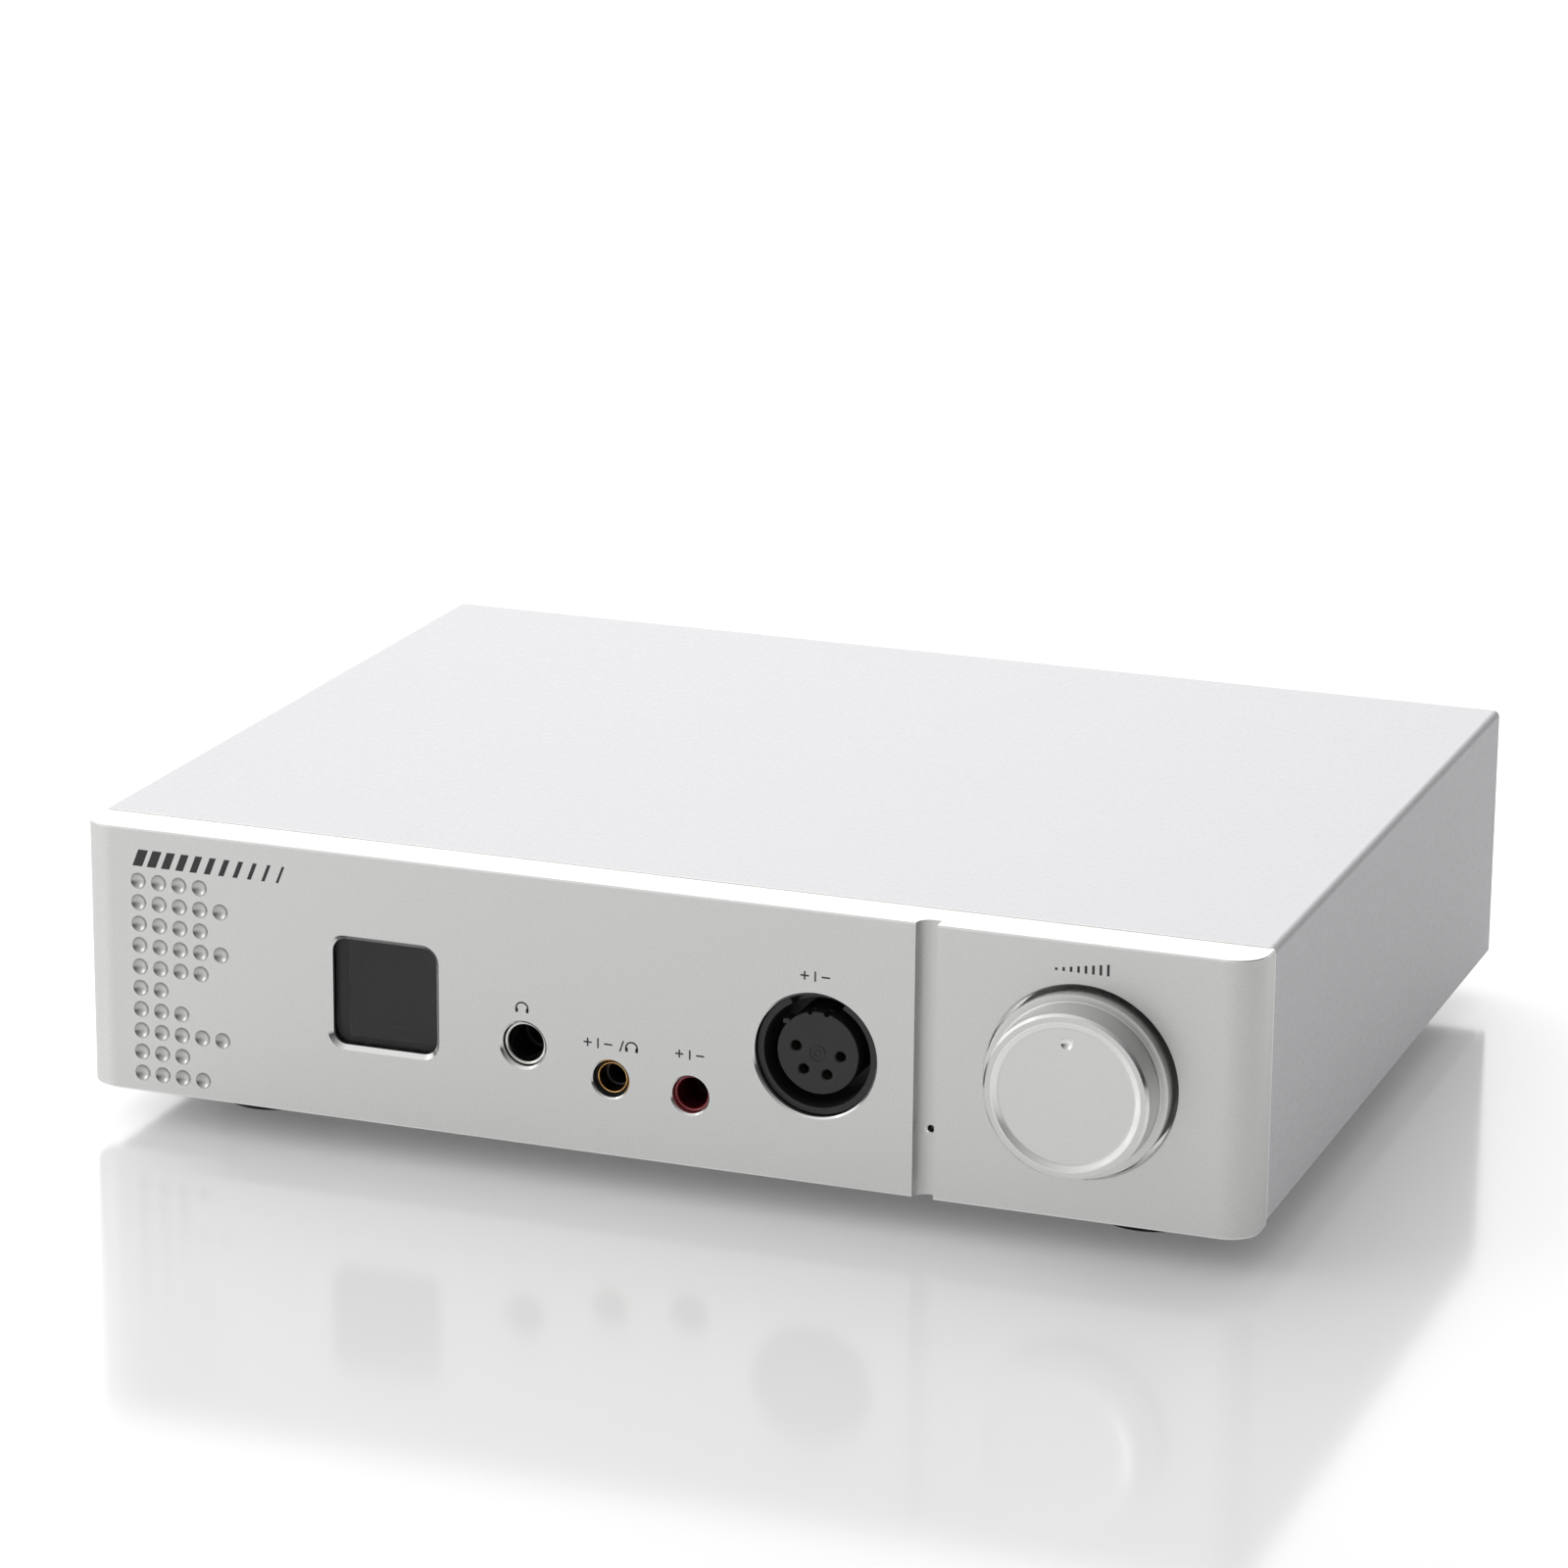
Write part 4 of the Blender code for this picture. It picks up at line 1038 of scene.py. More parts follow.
stub = rod((0, 0), 1.2, -7.8, 7.8, "Z", 28)
moved(stub, Matrix.Translation(pivot) @ ACROSS)
rocker = carved(rocker, [stub], "UNION")
MARK_UP, MARK_PROUD = 5.4, 0.12
mark_slope = math.atan(2 * (HOLLOW_EDGE - HOLLOW_MIDDLE) * MARK_UP / ROCKER_REACH**2)
mark_out = HOLLOW_MIDDLE + (HOLLOW_EDGE - HOLLOW_MIDDLE) * (MARK_UP / ROCKER_REACH) ** 2
line_mark = slab(rounded((0, 0), (0.55, 3.2), 0.2, 3), -0.3, 0.3 + MARK_PROUD)
ring_mark = turned((0, 0), [(1.6, -0.3), (1.6, MARK_PROUD), (1.15, MARK_PROUD), (1.15, -0.3)], steps=36)
for mark, side in ((line_mark, 1), (ring_mark, -1)):
    spot = Matrix.Translation((pivot.x, pivot.y + mark_out, pivot.z + side * MARK_UP))
    moved(mark, spot @ Matrix.Rotation(-side * mark_slope, 4, "X"))
rocker = gathered([rocker, paint(line_mark, 1), paint(ring_mark, 1)])
tip = Matrix.Translation(pivot) @ Matrix.Rotation(TILT, 4, "X") @ Matrix.Translation(-pivot)
moved(rocker, tip)
piece(
    "power_rocker_key", rocker, (rocker_black, white_ink), "power_rocker",
    body="power_rocker"
)


# Balanced inputs: flanged black shells held by two screws each, an insert with three contact holes, and a
# steel latch that the plug clicks under.
latch_steel = finish("latch_steel", (0.62, 0.62, 0.62), 0.3, 1.0, 0.04, 0.2, 0.02, 0.06, 0.003)
input_screws = []
for side in SIDES:
    place = xlr_in[side]
    low, high, _ = drawn(f"xlr_in_{side}_shell")
    flange_start = high.y - 2.0
    centre = (place.x, place.z)
    flange = slab(rounded(centre, (26.0, 31.0), 2.2), flange_start, 2.0)
    eased(flange, 0.4, 3)
    barrel = turned(
        centre,
        [(0, low.y), (11.5, low.y), (11.8, low.y + 0.3), (11.8, flange_start + 1), (0, flange_start + 1)],
        steps=72
    )
    shell = carved(flange, [barrel], "UNION")
    well = turned(
        centre, [(0, high.y + 1), (10.9, high.y + 1), (9.7, high.y - 0.3), (9.65, 186.5), (0, 186.5)],
        steps=72
    )
    latch_low, latch_high, latch = drawn(f"xlr_in_{side}_latch")
    slot_centre = (place.x, (latch_low.z - 1.6 + latch_high.z + 0.3) / 2)
    slot_outline = rounded(slot_centre, (8.0, latch_high.z - latch_low.z + 1.9), 0.4, 3)
    slot_tool = slab(slot_outline, latch_low.y - 0.15, 4)
    screw_spots = [(place.x - 9.6, place.z + 12.0), (place.x + 9.6, place.z - 12.0)]
    seat = [
        (0, flange_start - 3), (1.5, flange_start - 3), (1.5, high.y - 0.8), (3.0, high.y + 0.1),
        (3.0, high.y + 1), (0, high.y + 1)
    ]
    holes = [turned(at, seat, steps=36) for at in screw_spots]
    piece(
        f"xlr_in_{side}_housing", carved(shell, [well, slot_tool, *holes]), (shell_black,),
        f"xlr_in_{side}_shell"
    )
    input_screws += [Matrix.Translation((at[0], high.y - 0.05, at[1])) @ BACKWARDS for at in screw_spots]
    insert_low, insert_high, _ = drawn(f"xlr_in_{side}_insert")
    insert = turned(
        centre,
        [
            (0, insert_low.y), (8.0, insert_low.y), (8.0, insert_high.y - 0.4), (7.7, insert_high.y),
            (0, insert_high.y)
        ],
        steps=72
    )
    spots = sweep(centre, (4.4, 4.4), 30, -210, 2)
    mouth = [
        (0, 192), (1.2, 192), (1.2, insert_high.y - 0.3), (2.5, insert_high.y + 1), (0, insert_high.y + 1)
    ]
    holes = [turned(at, mouth, steps=32) for at in spots]
    piece(
        f"xlr_in_{side}_insert_moulded", carved(insert, holes), (insert_black,), f"xlr_in_{side}_insert",
    )
    contact = [(1.16, 201.2), (1.08, 201.4), (0.8, 201.3), (0.8, 193), (1.16, 193)]
    sleeves = [turned(at, contact, steps=24) for at in spots]
    piece(f"xlr_in_{side}_contacts", gathered(sleeves), (gold,))
    tab = eased(boxed(f"xlr_in_{side}_latch", 0.5, 4), 0.25)
    ridges = []
    for number in range(4):
        ridge = rounded((latch.x, latch.z - 1.2 + 0.8 * number), (5.4, 0.28), 0.12, 2)
        ridges.append(slab(ridge, latch_high.y - 0.2, 1))
    piece(
        f"xlr_in_{side}_latch_tab", carved(tab, ridges), (latch_steel,), f"xlr_in_{side}_latch",
        body=f"latch_{side}"
    )
input_screw = screw_head([(0, 0), (2.3, 0), (2.6, 0.15), (1.3, 1.3), (1.3, 6.0), (0, 6.0)], 1.0)
piece("xlr_in_screws", copies(input_screw, input_screws), (screw_black,))


# Phono inputs: gold-plated barrels with a hexagonal nut, a fine thread and a coloured insulator, white on
# the left channel and red on the right.
insulator_white = finish("insulator_white", (0.72, 0.71, 0.68), 0.35, 0.0, 0.03, 0.3, 0.02, 0.04, 0.003)
insulator_red = finish("insulator_red", (0.42, 0.02, 0.025), 0.3, 0.0, 0.04, 0.3, 0.02, 0.04, 0.003)
for side, insulator in zip(SIDES, (insulator_white, insulator_red)):
    low, high, place = drawn(f"phono_in_{side}")
    centre, end = (place.x, place.z), high.y
    nut_start = rear_high.y + 0.3
    thread = []
    turns, pitch = 8, 0.42
    for number in range(turns):
        start = nut_start + 2.4 + pitch * number
        thread += [(4.0, start), (4.2, start + pitch / 2)]
    barrel = [(1.6, low.y), (4.1, low.y), (4.1, nut_start + 2.3)] + thread
    barrel += [
        (4.0, nut_start + 2.4 + pitch * turns), (4.0, end - 3.3), (4.18, end - 3.0), (4.18, end - 0.3),
        (4.05, end), (3.5, end), (3.35, end - 0.3), (3.3, end - 4.0), (1.6, end - 4.0)
    ]
    nut_outline = sweep(centre, (6.15, 6.15), 30, 330, 5)
    nut_shape = eased(slab(nut_outline, nut_start, 2.2), 0.3)
    nut_shape = carved(nut_shape, [rod(centre, 4.12, 195, 210, steps=48)])
    washer = turned(
        centre, [(6.2, rear_high.y), (6.2, nut_start), (4.2, nut_start), (4.2, rear_high.y)], steps=48
    )
    plug_sleeve = turned(
        centre, [(1.55, 194), (1.55, end - 1.2), (1.75, end - 1.0), (1.95, end - 1.1), (1.98, 194)],
        steps=40
    )
    ring = turned(
        centre,
        [
            (3.28, end - 4), (3.28, end - 1.35), (3.1, end - 1.1), (2.1, end - 1.1), (1.99, end - 1.3),
            (1.99, end - 4)
        ],
        steps=64
    )
    shapes = [turned(centre, barrel, steps=64), nut_shape, washer, plug_sleeve, paint(ring, 1)]
    piece(f"phono_in_{side}_barrel", gathered(shapes), (gold, insulator), f"phono_in_{side}")


# Circuit boards: glass-fibre sheets under green mask, with runs of traces and tinned vias. Each rests on
# posts or on its own parts, and its corners and edges are routed.
board_pattern, given, result = new_group(
    "board_pattern", {"Colour": (0.012, 0.085, 0.035, 1.0), "Roughness": 0.32},
    ("Colour", "Roughness", "Height")
)
spot = add_node(board_pattern, "ShaderNodeTexCoord").outputs["Object"]
TRACE_SCALE, VIA_SCALE, ZONE_SCALE = 260.0, 240.0, 45.0
runs = []
for direction in ("X", "Y"):
    wave = add_node(
        board_pattern, "ShaderNodeTexWave", {"Vector": spot, "Scale": TRACE_SCALE},
        bands_direction=direction
    )
    runs.append(maths(board_pattern, "GREATER_THAN", wave.outputs["Fac"], 0.45))
zone = add_node(
    board_pattern, "ShaderNodeTexNoise", {"Vector": spot, "Scale": ZONE_SCALE, "Detail": 0.0}
).outputs[0]
across_zone = maths(board_pattern, "GREATER_THAN", zone, 0.55)
along_zone = maths(board_pattern, "LESS_THAN", zone, 0.42)
copper = maths(
    board_pattern, "ADD", maths(board_pattern, "MULTIPLY", runs[0], across_zone),
    maths(board_pattern, "MULTIPLY", runs[1], along_zone)
)
cells = add_node(board_pattern, "ShaderNodeTexVoronoi", {"Vector": spot, "Scale": VIA_SCALE}, feature="F1")
via = maths(board_pattern, "LESS_THAN", cells.outputs["Distance"], 0.11)
lift = maths(board_pattern, "MULTIPLY_ADD", copper, 0.7, 1.0)
masked = scaled(board_pattern, given["Colour"], lift)
dotted = add_node(
    board_pattern, "ShaderNodeMix", {"Factor": via, 6: masked, 7: (0.42, 0.42, 0.40, 1.0)}, data_type="RGBA"
)
rough = maths(board_pattern, "MULTIPLY_ADD", via, 0.1, given["Roughness"])
feed(board_pattern, result, {"Colour": dotted.outputs[2], "Roughness": rough, "Height": copper})
board_green = surface("board_green_mask", board_pattern, {}, 0.0, 0.03)
BOARD_CORNER = 1.5


def board(name, flat):
    """A board that lies flat or stands facing the front. Returns its upper side."""
    low, high, middle = drawn(name)
    if flat:
        size = (high.x - low.x, high.y - low.y)
        shape = tile(rounded((middle.x, middle.y), size, BOARD_CORNER, 4), low.z, high.z - low.z)
    else:
        shape = boxed(name, BOARD_CORNER, 4)
    eased(shape, 0.08, 1)
    piece(f"{name}_routed", shape, (board_green,), stands_for=name)
    return high.z


deck = board("main_board", True)
board("jack_board", True)
board("display_board", False)
board("control_board", False)


# Board parts: resistors, film capacitors, small can capacitors, chips, power devices on the heatsinks and
# screw terminals, each a moulded or turned body on tinned legs in the main board.
chip_black = finish("chip_epoxy", (0.018, 0.018, 0.02), 0.48, 0.0, 0.15, 0.2, 0.05, 0.08, 0.006)
film_red = finish("film_capacitor_red", (0.35, 0.03, 0.02), 0.3, 0.0, 0.05, 0.4, 0.03, 0.04, 0.004)
resistor_blue = finish("resistor_blue", (0.05, 0.16, 0.33), 0.4, 0.0, 0.06, 0.2, 0.03, 0.05, 0.004)
terminal_green = finish("terminal_green", (0.02, 0.22, 0.10), 0.42, 0.0, 0.06, 0.3, 0.03, 0.05, 0.006)
tinned = finish("tinned_legs", (0.62, 0.61, 0.59), 0.32, 1.0, 0.05, 0.15, 0.03, 0.08, 0.004)
can_side = finish("can_sleeve_small", (0.02, 0.025, 0.06), 0.35, 0.0, 0.06, 0.2, 0.03, 0.05, 0.003)
bodies = []


def block(centre, size, base_up, number, ease=0.3):
    shape = tile(rounded(centre, size[:2], min(size[:2]) * 0.12, 2), base_up, size[2])
    return paint(eased(shape, ease, 1), number)


def upright(centre, radius, base_up, tall, number):
    profile = [
        (0, base_up), (radius, base_up), (radius, base_up + tall - 0.3), (radius - 0.3, base_up + tall)
    ]
    return paint(turned(centre, profile + [(0, base_up + tall)], "Z", 24), number)


for column in range(9):
    for row in range(2):
        across, along = -24.0 + 5.2 * column, 134.0 + 12.0 * row
        tube = [
            (0, -3.1), (1.0, -3.1), (1.2, -2.7), (0.95, -2.0), (0.95, 2.0), (1.2, 2.7), (1.0, 3.1), (0, 3.1)
        ]
        resistor = paint(turned((across, deck + 1.5), [(r, along + y) for r, y in tube], steps=16), 2)
        legs = [paint(rod((across, deck + 1.5), 0.25, along - 5, along + 5, steps=8), 4)]
        legs += [upright((across, along + end), 0.25, deck - 0.1, 1.7, 4) for end in (-4.9, 4.9)]
        bodies += [resistor, *legs]
for number in range(5):
    bodies.append(block((-22.0 + 11.0 * number, 163.0), (9.0, 4.6, 8.5), deck + 0.3, 1))
for number in range(6):
    bodies.append(upright((36.5, 84.0 + 11.0 * number), 2.5, deck + 0.2, 7.0, 5))
for number in range(3):
    chip = (-18.0 + 20.0 * number, 176.0)
    bodies.append(block(chip, (9.8, 6.2, 3.2), deck + 0.6, 0, 0.25))
    for leg in range(8):
        side, step = (-1, 1)[leg % 2], leg // 2
        spot = (chip[0] - 3.8 + 2.54 * step, chip[1] + side * 3.8)
        bodies.append(block(spot, (0.5, 0.8, 2.0), deck - 0.1, 4, 0.08))
for wall in (drawn("heatsink_left")[0].x, drawn("heatsink_right")[0].x):
    for number in range(3):
        along = 92.0 + 22.0 * number
        device = (wall - 2.3, along)
        bodies.append(block(device, (4.4, 10.0, 16.0), deck + 4.0, 0, 0.3))
        for leg in (-2.5, 0, 2.5):
            bodies.append(block((device[0] - 0.8, along + leg), (0.6, 0.9, 4.6), deck - 0.1, 4, 0.08))
for across, long in ((8.0, 15.0), (46.0, 20.0)):
    bodies.append(block((across, 188.0 - 2.0), (long, 7.0, 9.0), deck + 0.1, 3, 0.4))
    for number in range(int(long // 5)):
        bodies.append(upright((across - long / 2 + 2.5 + 5.0 * number, 186.0), 1.5, deck + 9.0, 0.25, 4))
bodies.append(block((86.0, 66.5), (22.4, 6.0, 6.5), deck + 1.9, 0, 0.4))
piece(
    "main_board_parts", gathered(bodies),
    (chip_black, film_red, resistor_blue, terminal_green, tinned, can_side)
)


# Filter capacitors: aluminium cans in dark shrink sleeves with a pale stripe down one side, rolled in near
# the base, their scored ends bare. Soldered to the main board.
sleeve_dark = finish("can_sleeve", (0.014, 0.018, 0.03), 0.3, 0.0, 0.06, 0.3, 0.03, 0.05, 0.004)
stripe_pale = finish("can_stripe", (0.5, 0.5, 0.48), 0.35, 0.0, 0.05, 0.2, 0.02, 0.04, 0.002)
can_end = finish("can_end_aluminium", (0.66, 0.66, 0.66), 0.34, 1.0, 0.04, 0.2, 0.02, 0.05, 0.003)
cans = []
for number in range(1, 5):
    low, high, middle = drawn(f"filter_cap_{number}")
    radius = (high.x - low.x) / 2
    can_profile = [
        (0, low.z), (radius - 0.6, low.z), (radius, low.z + 0.6), (radius, low.z + 2.2),
        (radius - 0.7, low.z + 3.0), (radius, low.z + 3.8), (radius, high.z - 0.8), (radius - 0.5, high.z),
        (radius - 1.6, high.z), (radius - 1.7, high.z - 0.3), (0, high.z - 0.3)
    ]
    can = turned((middle.x, middle.y), can_profile, "Z", 72)
    for part in can.faces:
        spot = part.calc_center_median()
        if part.normal.x < -0.92:
            part.material_index = 1
        elif spot.z > high.z - 0.4 and math.hypot(spot.x - middle.x, spot.y - middle.y) < radius - 1.55:
            part.material_index = 2
    cans.append(can)
piece(
    "filter_caps_sleeved", gathered(cans), (sleeve_dark, stripe_pale, can_end),
    tuple(f"filter_cap_{number}" for number in range(1, 5))
)


# Heatsinks: black anodised extrusions whose eight fins point to the right, sawn to length. They stand on the
# main board over the grille in the tray.
heatsink_black = finish(
    "heatsink_anodised", (0.035, 0.035, 0.038), 0.42, 0.85, 0.08, 0.25, 0.03, 0.06, 0.006
)
BACK_WALL, FIN, FIN_PITCH, FINS = 4.0, 2.5, 10.0, 8
for side in SIDES:
    low, high, _ = drawn(f"heatsink_{side}")
    fins = [(low.x, low.y), (low.x + BACK_WALL, low.y)]
    for fin in range(FINS):
        start = low.y + FIN_PITCH * fin
        fins += [
            (high.x - 0.4, start), (high.x, start + 0.5), (high.x, start + FIN - 0.5),
            (high.x - 0.4, start + FIN)
        ]
        if fin < FINS - 1:
            fins += [(low.x + BACK_WALL + 0.4, start + FIN), (low.x + BACK_WALL, start + FIN + 0.4)]
            fins += [
                (low.x + BACK_WALL, start + FIN_PITCH - 0.4), (low.x + BACK_WALL + 0.4, start + FIN_PITCH)
            ]
    fins += [(low.x, high.y)]
    shape = tile(fins, low.z, high.z - low.z)
    eased(shape, 0.15, 1, 70.0)
    piece(f"heatsink_{side}_extruded", shape, (heatsink_black,), f"heatsink_{side}")


# Output relay: a moulded black box with rounded edges and a raised seam round its base. It stands on the
# main board.
relay_low, relay_high, relay = drawn("output_relay")
relay_size = (relay_high.x - relay_low.x, relay_high.y - relay_low.y)
relay_box = block(
    (relay.x, relay.y), (relay_size[0] - 0.4, relay_size[1] - 0.4, relay_high.z - relay_low.z), relay_low.z,
    0, 0.6
)
seam = block((relay.x, relay.y), (*relay_size, 1.2), relay_low.z, 0, 0.2)
relay_case = finish("relay_case", (0.022, 0.023, 0.026), 0.36, 0.0, 0.08, 0.3, 0.03, 0.05, 0.006)
piece("output_relay_case", gathered([relay_box, seam]), (relay_case,), "output_relay")


# Transformer: a ring core and windings wrapped in yellow polyester tape whose turns overlap, clamped on a
# rubber pad by a dished steel washer and one bolt.
tape = finish(
    "transformer_tape", (0.50, 0.37, 0.08), 0.28, 0.0, 0.06, 0.6, 0.05, 0.05, 0.01, {"Coat Weight": 0.3}
)
core_low, core_high, core = drawn("transformer")
CORE_OUTER, CORE_INNER, CORE_CURVE, TAPE_TURNS, TAPE_STEP = 41.0, 14.0, 7.0, 60, 0.28
ring_corners = [
    ((CORE_OUTER - CORE_CURVE, core_high.z - CORE_CURVE), 90, 0),
    ((CORE_OUTER - CORE_CURVE, core_low.z + CORE_CURVE), 0, -90),
    ((CORE_INNER + CORE_CURVE, core_low.z + CORE_CURVE), 270, 180),
    ((CORE_INNER + CORE_CURVE, core_high.z - CORE_CURVE), 180, 90)
]
rings = []
for turn in range(TAPE_TURNS):
    for share, sunk in ((0.0, 0.0), (0.86, TAPE_STEP)):
        angle = math.tau * (turn + share) / TAPE_TURNS
        section = []
        for centre, start, end in ring_corners:
            section += sweep(centre, (CORE_CURVE - sunk, CORE_CURVE - sunk), start, end, 6)
        rings.append(
            [(core.x + r * math.cos(angle), core.y + r * math.sin(angle), up) for r, up in section]
        )
wound = bmesh.new()
loops = [[wound.verts.new(point) for point in ring] for ring in rings]
for near, far in zip(loops, loops[1:] + loops[:1]):
    for first, second, third, fourth in zip(near, near[1:] + near[:1], far[1:] + far[:1], far):
        wound.faces.new((first, second, third, fourth))
bmesh.ops.recalc_face_normals(wound, faces=wound.faces)
piece("transformer_wound", wound, (tape,), "transformer", crease=60.0)


# Kept frame parts: posts, encoder, bolt, washer, pad and grub screw are plain turned or pressed parts, so
# they keep their own shape and take a plated, blackened or rubber finish.
steel_zinc = finish("steel_zinc_plated", (0.60, 0.61, 0.62), 0.3, 1.0, 0.06, 0.3, 0.04, 0.06, 0.004)
brass_nickel = finish("brass_nickel_plated", (0.66, 0.64, 0.59), 0.24, 1.0, 0.04, 0.25, 0.03, 0.05, 0.003)
pressed_steel = finish("steel_pressed", (0.56, 0.56, 0.57), 0.36, 1.0, 0.05, 0.3, 0.04, 0.06, 0.005)
kept_finishes = {
    "transformer_bolt": steel_zinc, "transformer_washer": steel_zinc, "transformer_pad": rubber,
    "encoder_body": pressed_steel, "encoder_nut": brass_nickel, "encoder_plunger": pressed_steel,
    "encoder_shaft": brass_nickel, "knob_grub_screw": screw_black
}
for number in range(1, 5):
    kept_finishes[f"board_post_{number}"] = brass_nickel
for node, material in kept_finishes.items():
    frame["nodes"][node].data.materials[0] = material


# Ribbon cable: fifteen grey ribs side by side, one edge rib red, dropping from the control board to the
# plug on the main board.
ribbon_low, ribbon_high, _ = drawn("ribbon_cable")
ribbon_grey = finish("ribbon_grey", (0.36, 0.37, 0.39), 0.42, 0.0, 0.04, 0.3, 0.03, 0.05, 0.004)
ribbon_red = finish("ribbon_red", (0.36, 0.03, 0.03), 0.42, 0.0, 0.04, 0.3, 0.03, 0.05, 0.004)
RIBS = 15
rib_width = (ribbon_high.x - ribbon_low.x) / RIBS
cable_path = [
    (19.75, 22.5), (32.0, 21.6), (45.0, 20.45), (50.5, 17.0), (55.7, 13.4), (58.5, 13.25), (65.9, 13.25)
]
ribs = []
for rib in range(RIBS):
    across = ribbon_low.x + rib_width * (rib + 0.5)
    outlines = []
    for depth, up in cable_path:
        outlines.append(
            [(x, depth, high) for x, high in sweep((across, up), (rib_width / 2, 0.42), 0, 315, 7)]
        )
    ribs.append(paint(lofted(outlines), 1 if rib == 0 else 0))
piece("ribbon_ribbed", gathered(ribs), (ribbon_grey, ribbon_red), "ribbon_cable", crease=50.0)


# Wiring: insulated leads from the inlet's blades to the transformer and from its windings to the terminals,
# and the screws that hold the main board to its posts.
lead_brown = finish("lead_brown", (0.10, 0.035, 0.015), 0.4, 0.0, 0.04, 0.3, 0.03, 0.05, 0.003)
lead_blue = finish("lead_blue", (0.02, 0.07, 0.30), 0.4, 0.0, 0.04, 0.3, 0.03, 0.05, 0.003)
lead_red = finish("lead_red", (0.38, 0.02, 0.02), 0.4, 0.0, 0.04, 0.3, 0.03, 0.05, 0.003)
LEAD_RADIUS = 0.9


def lead(points, number):
    """A round lead along a smooth path through the points."""
    path = [Vector(point) for point in points]
    smooth = []
    for before, start, end, after in zip(path[:1] + path, path, path[1:], path[2:] + path[-1:]):
        for step in range(8):
            t = step / 8
            smooth.append(
                0.5
                * (
                    2 * start + (end - before) * t + (2 * before - 5 * start + 4 * end - after) * t * t
                    + (3 * start - before - 3 * end + after) * t * t * t
                )
            )
    smooth.append(path[-1])
    outlines = []
    side = Vector((0.31, 0.27, 0.91)).normalized()
    for place, following in zip(smooth, smooth[1:] + [2 * smooth[-1] - smooth[-2]]):
        along = (following - place).normalized()
        side = (side - along * side.dot(along)).normalized()
        other = along.cross(side)
        ring = sweep((0, 0), (LEAD_RADIUS, LEAD_RADIUS), 0, 324, 9)
        outlines.append([place + side * a + other * b for a, b in ring])
    return paint(lofted(outlines), number)


leads = [
    lead([(-84, 176.5, 31), (-84, 168, 29), (-92, 158, 22), (-97, 151, 15)], 0),
    lead([(-70, 176.5, 31), (-70, 168, 29), (-72, 158, 22), (-76, 151.5, 15)], 1),
    lead(
        [
            (-40.5, 118, 30), (-34, 126, 34), (-30, 150, 30), (-12, 172, 32), (3.5, 184, 27),
            (3.5, 186, 21.8)
        ],
        2
    ),
    lead(
        [(-40.5, 114, 26), (-32, 124, 28), (-26, 150, 26), (-6, 174, 28), (8.5, 184, 25), (8.5, 186, 21.8)],
        2
    )
]
board_screw = screw_head(
    [(0, 0), (2.5, 0.15), (2.8, 0.9), (2.8, 1.7), (1.45, 1.7), (1.45, 5.5), (0, 5.5)], 1.0
)
upside_down = Matrix.Rotation(math.pi, 4, "X")
board_screw_places = []
for number in range(1, 5):
    post = drawn(f"board_post_{number}")[2]
    board_screw_places.append(Matrix.Translation((post.x, post.y, deck + 1.75)) @ upside_down)
piece("inner_leads", gathered(leads), (lead_brown, lead_blue, lead_red))
piece("main_board_screws", copies(board_screw, board_screw_places), (steel_zinc,))


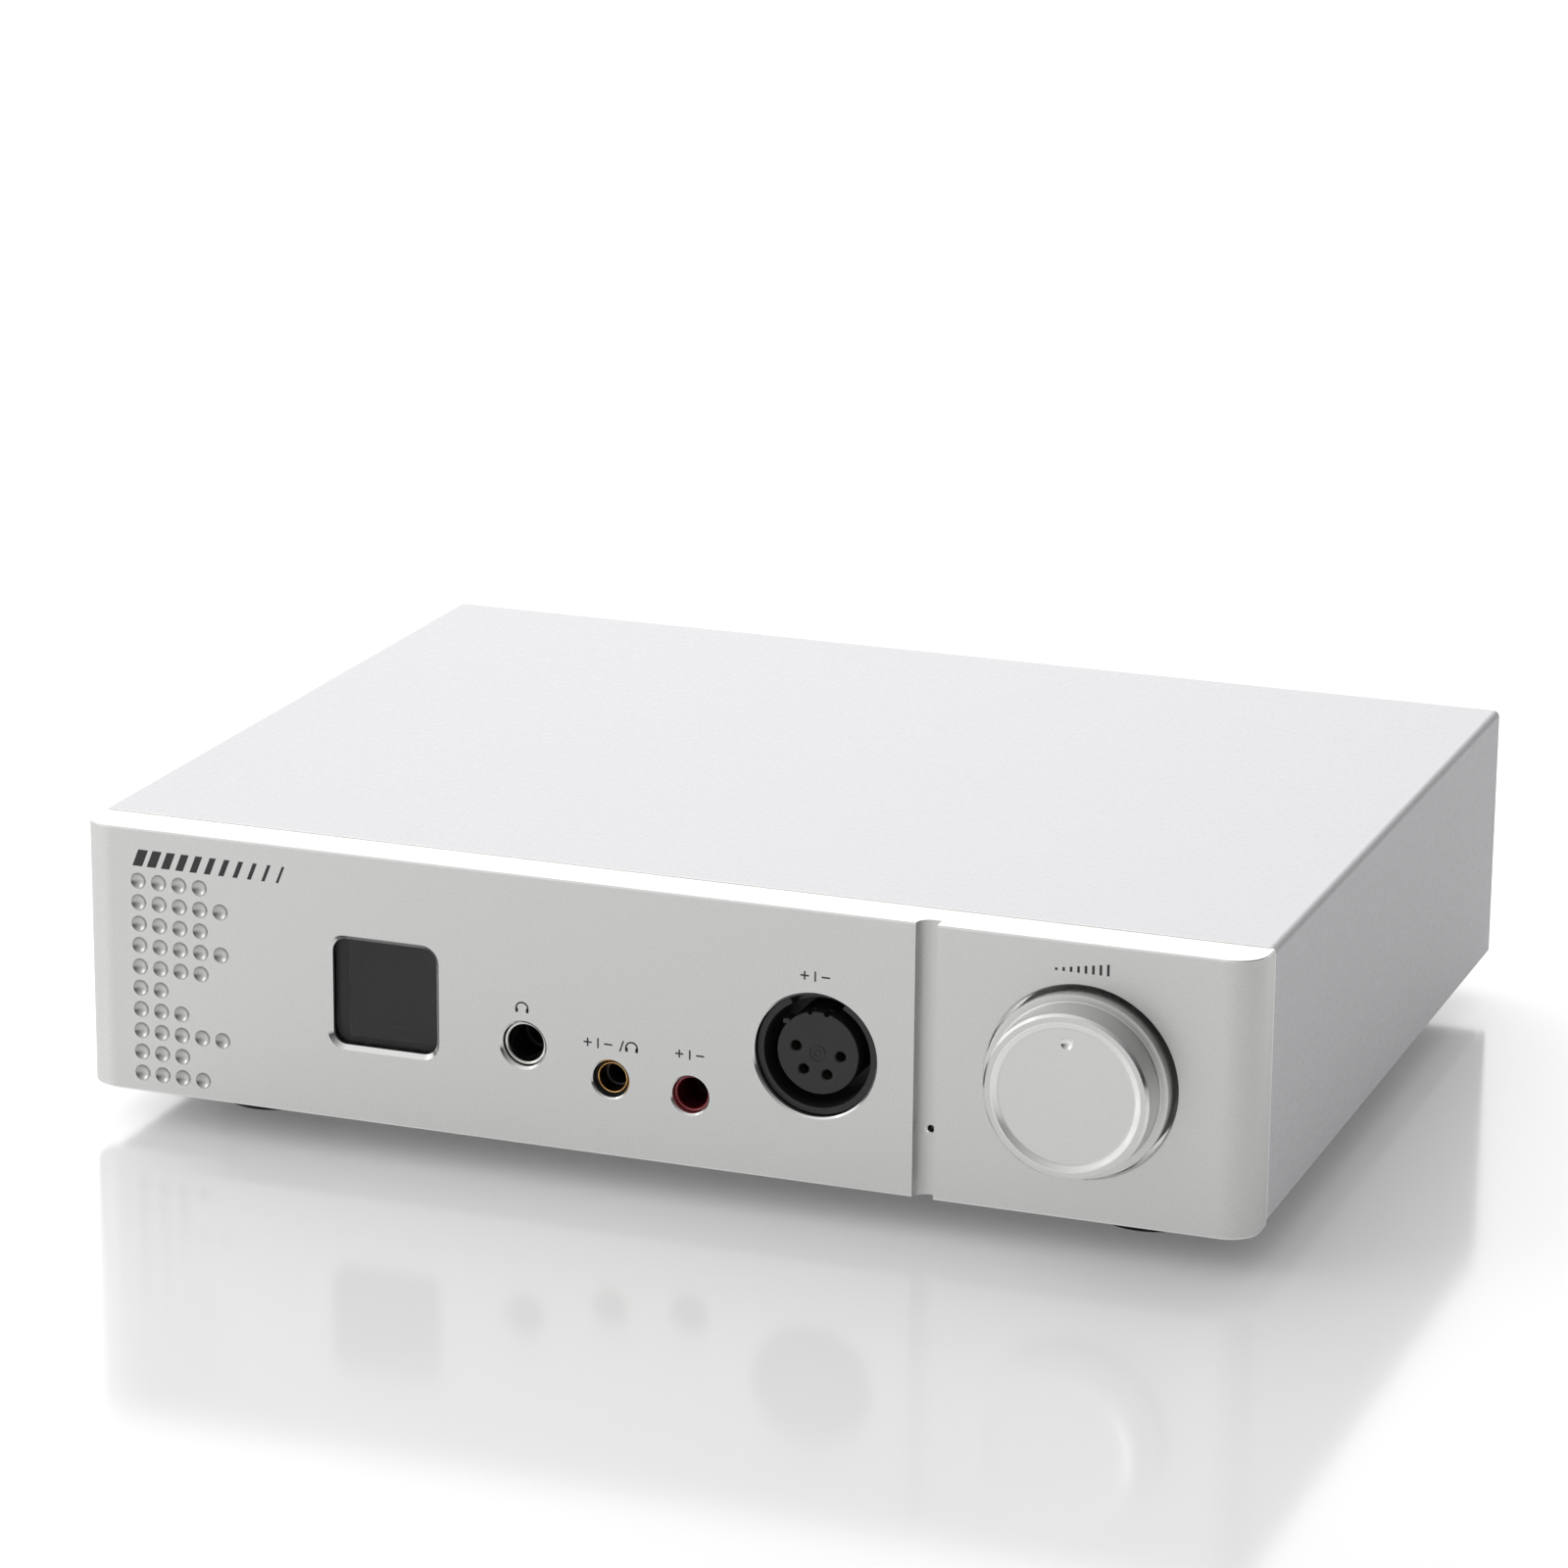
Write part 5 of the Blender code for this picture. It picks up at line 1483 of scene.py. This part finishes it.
# Camera: a long lens in front of the object, a little to its right and above it. It aims just over the
# front of the top.
aim = Vector((-0.00029, -0.01942, 0.0683))
AZIMUTH, ELEVATION, ROLL, DISTANCE = math.radians(20.33), math.radians(16.33), math.radians(0.50), 1.2159
back = Vector(
    (math.sin(AZIMUTH) * math.cos(ELEVATION), -math.cos(AZIMUTH) * math.cos(ELEVATION), math.sin(ELEVATION))
)
camera = placed("camera", bpy.data.cameras.new("camera"))
camera.data.lens, camera.data.sensor_width, camera.data.clip_end = 128.33, 36.0, 50.0
turn = back.to_track_quat("Z", "Y").to_matrix().to_4x4() @ Matrix.Rotation(ROLL, 4, "Z")
camera.matrix_world = Matrix.Translation(aim + back * DISTANCE) @ turn
bpy.context.scene.camera = camera


# Studio: a glossy white floor, a surround that is bright at the left and behind, and soft boxes above,
# behind and to the left.
floor_shape = bmesh.new()
bmesh.ops.create_grid(floor_shape, x_segments=2, y_segments=2, size=6.0)
floor = placed("floor", meshed(floor_shape, "floor"))
floor_finish, floor_tree, floor_shader = new_material("floor_white_gloss")
white = (1.0, 1.0, 1.0, 1.0)
glow = {"Emission Color": white, "Emission Strength": 0.13}
feed(floor_tree, floor_shader, {"Base Color": (0.97, 0.97, 0.97, 1.0), "Roughness": 0.12, **glow})
floor.data.materials.append(floor_finish)
floor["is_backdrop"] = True

world = bpy.data.worlds.new("surround")
world.use_nodes = True
sky = world.node_tree
direction = add_node(sky, "ShaderNodeTexCoord").outputs["Generated"]
slope = {0: direction, 1: (-0.52, 0.05, 0.10)}
leaning = add_node(sky, "ShaderNodeVectorMath", slope, operation="DOT_PRODUCT").outputs["Value"]
brightness = maths(sky, "MAXIMUM", maths(sky, "ADD", leaning, 0.54), 0.0)
feed(sky, sky.nodes["Background"], {"Color": white, "Strength": brightness})
bpy.context.scene.world = world


def soft_box(name, place, aim_at, size, power):
    """A rectangular lamp that faces a point."""
    lamp = bpy.data.lights.new(name, "AREA")
    lamp.shape = "RECTANGLE"
    lamp.size, lamp.size_y = size
    lamp.energy = power
    turn = (Vector(place) - Vector(aim_at)).to_track_quat("Z", "Y").to_matrix().to_4x4()
    placed(name, lamp).matrix_world = Matrix.Translation(place) @ turn


soft_box("soft_box_above", (-0.3, 0.7, 1.3), (0, 0, 0.03), (1.4, 1.2), 3.0)
soft_box("soft_box_left", (-1.3, -0.9, 0.9), (0, 0, 0.03), (0.9, 0.9), 3.0)
soft_box("soft_box_back", (-0.9, 2.3, 0.7), (0, 0, 0.1), (2.4, 1.2), 13.0)
bpy.context.scene.view_settings.view_transform = "Standard"

low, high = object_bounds()
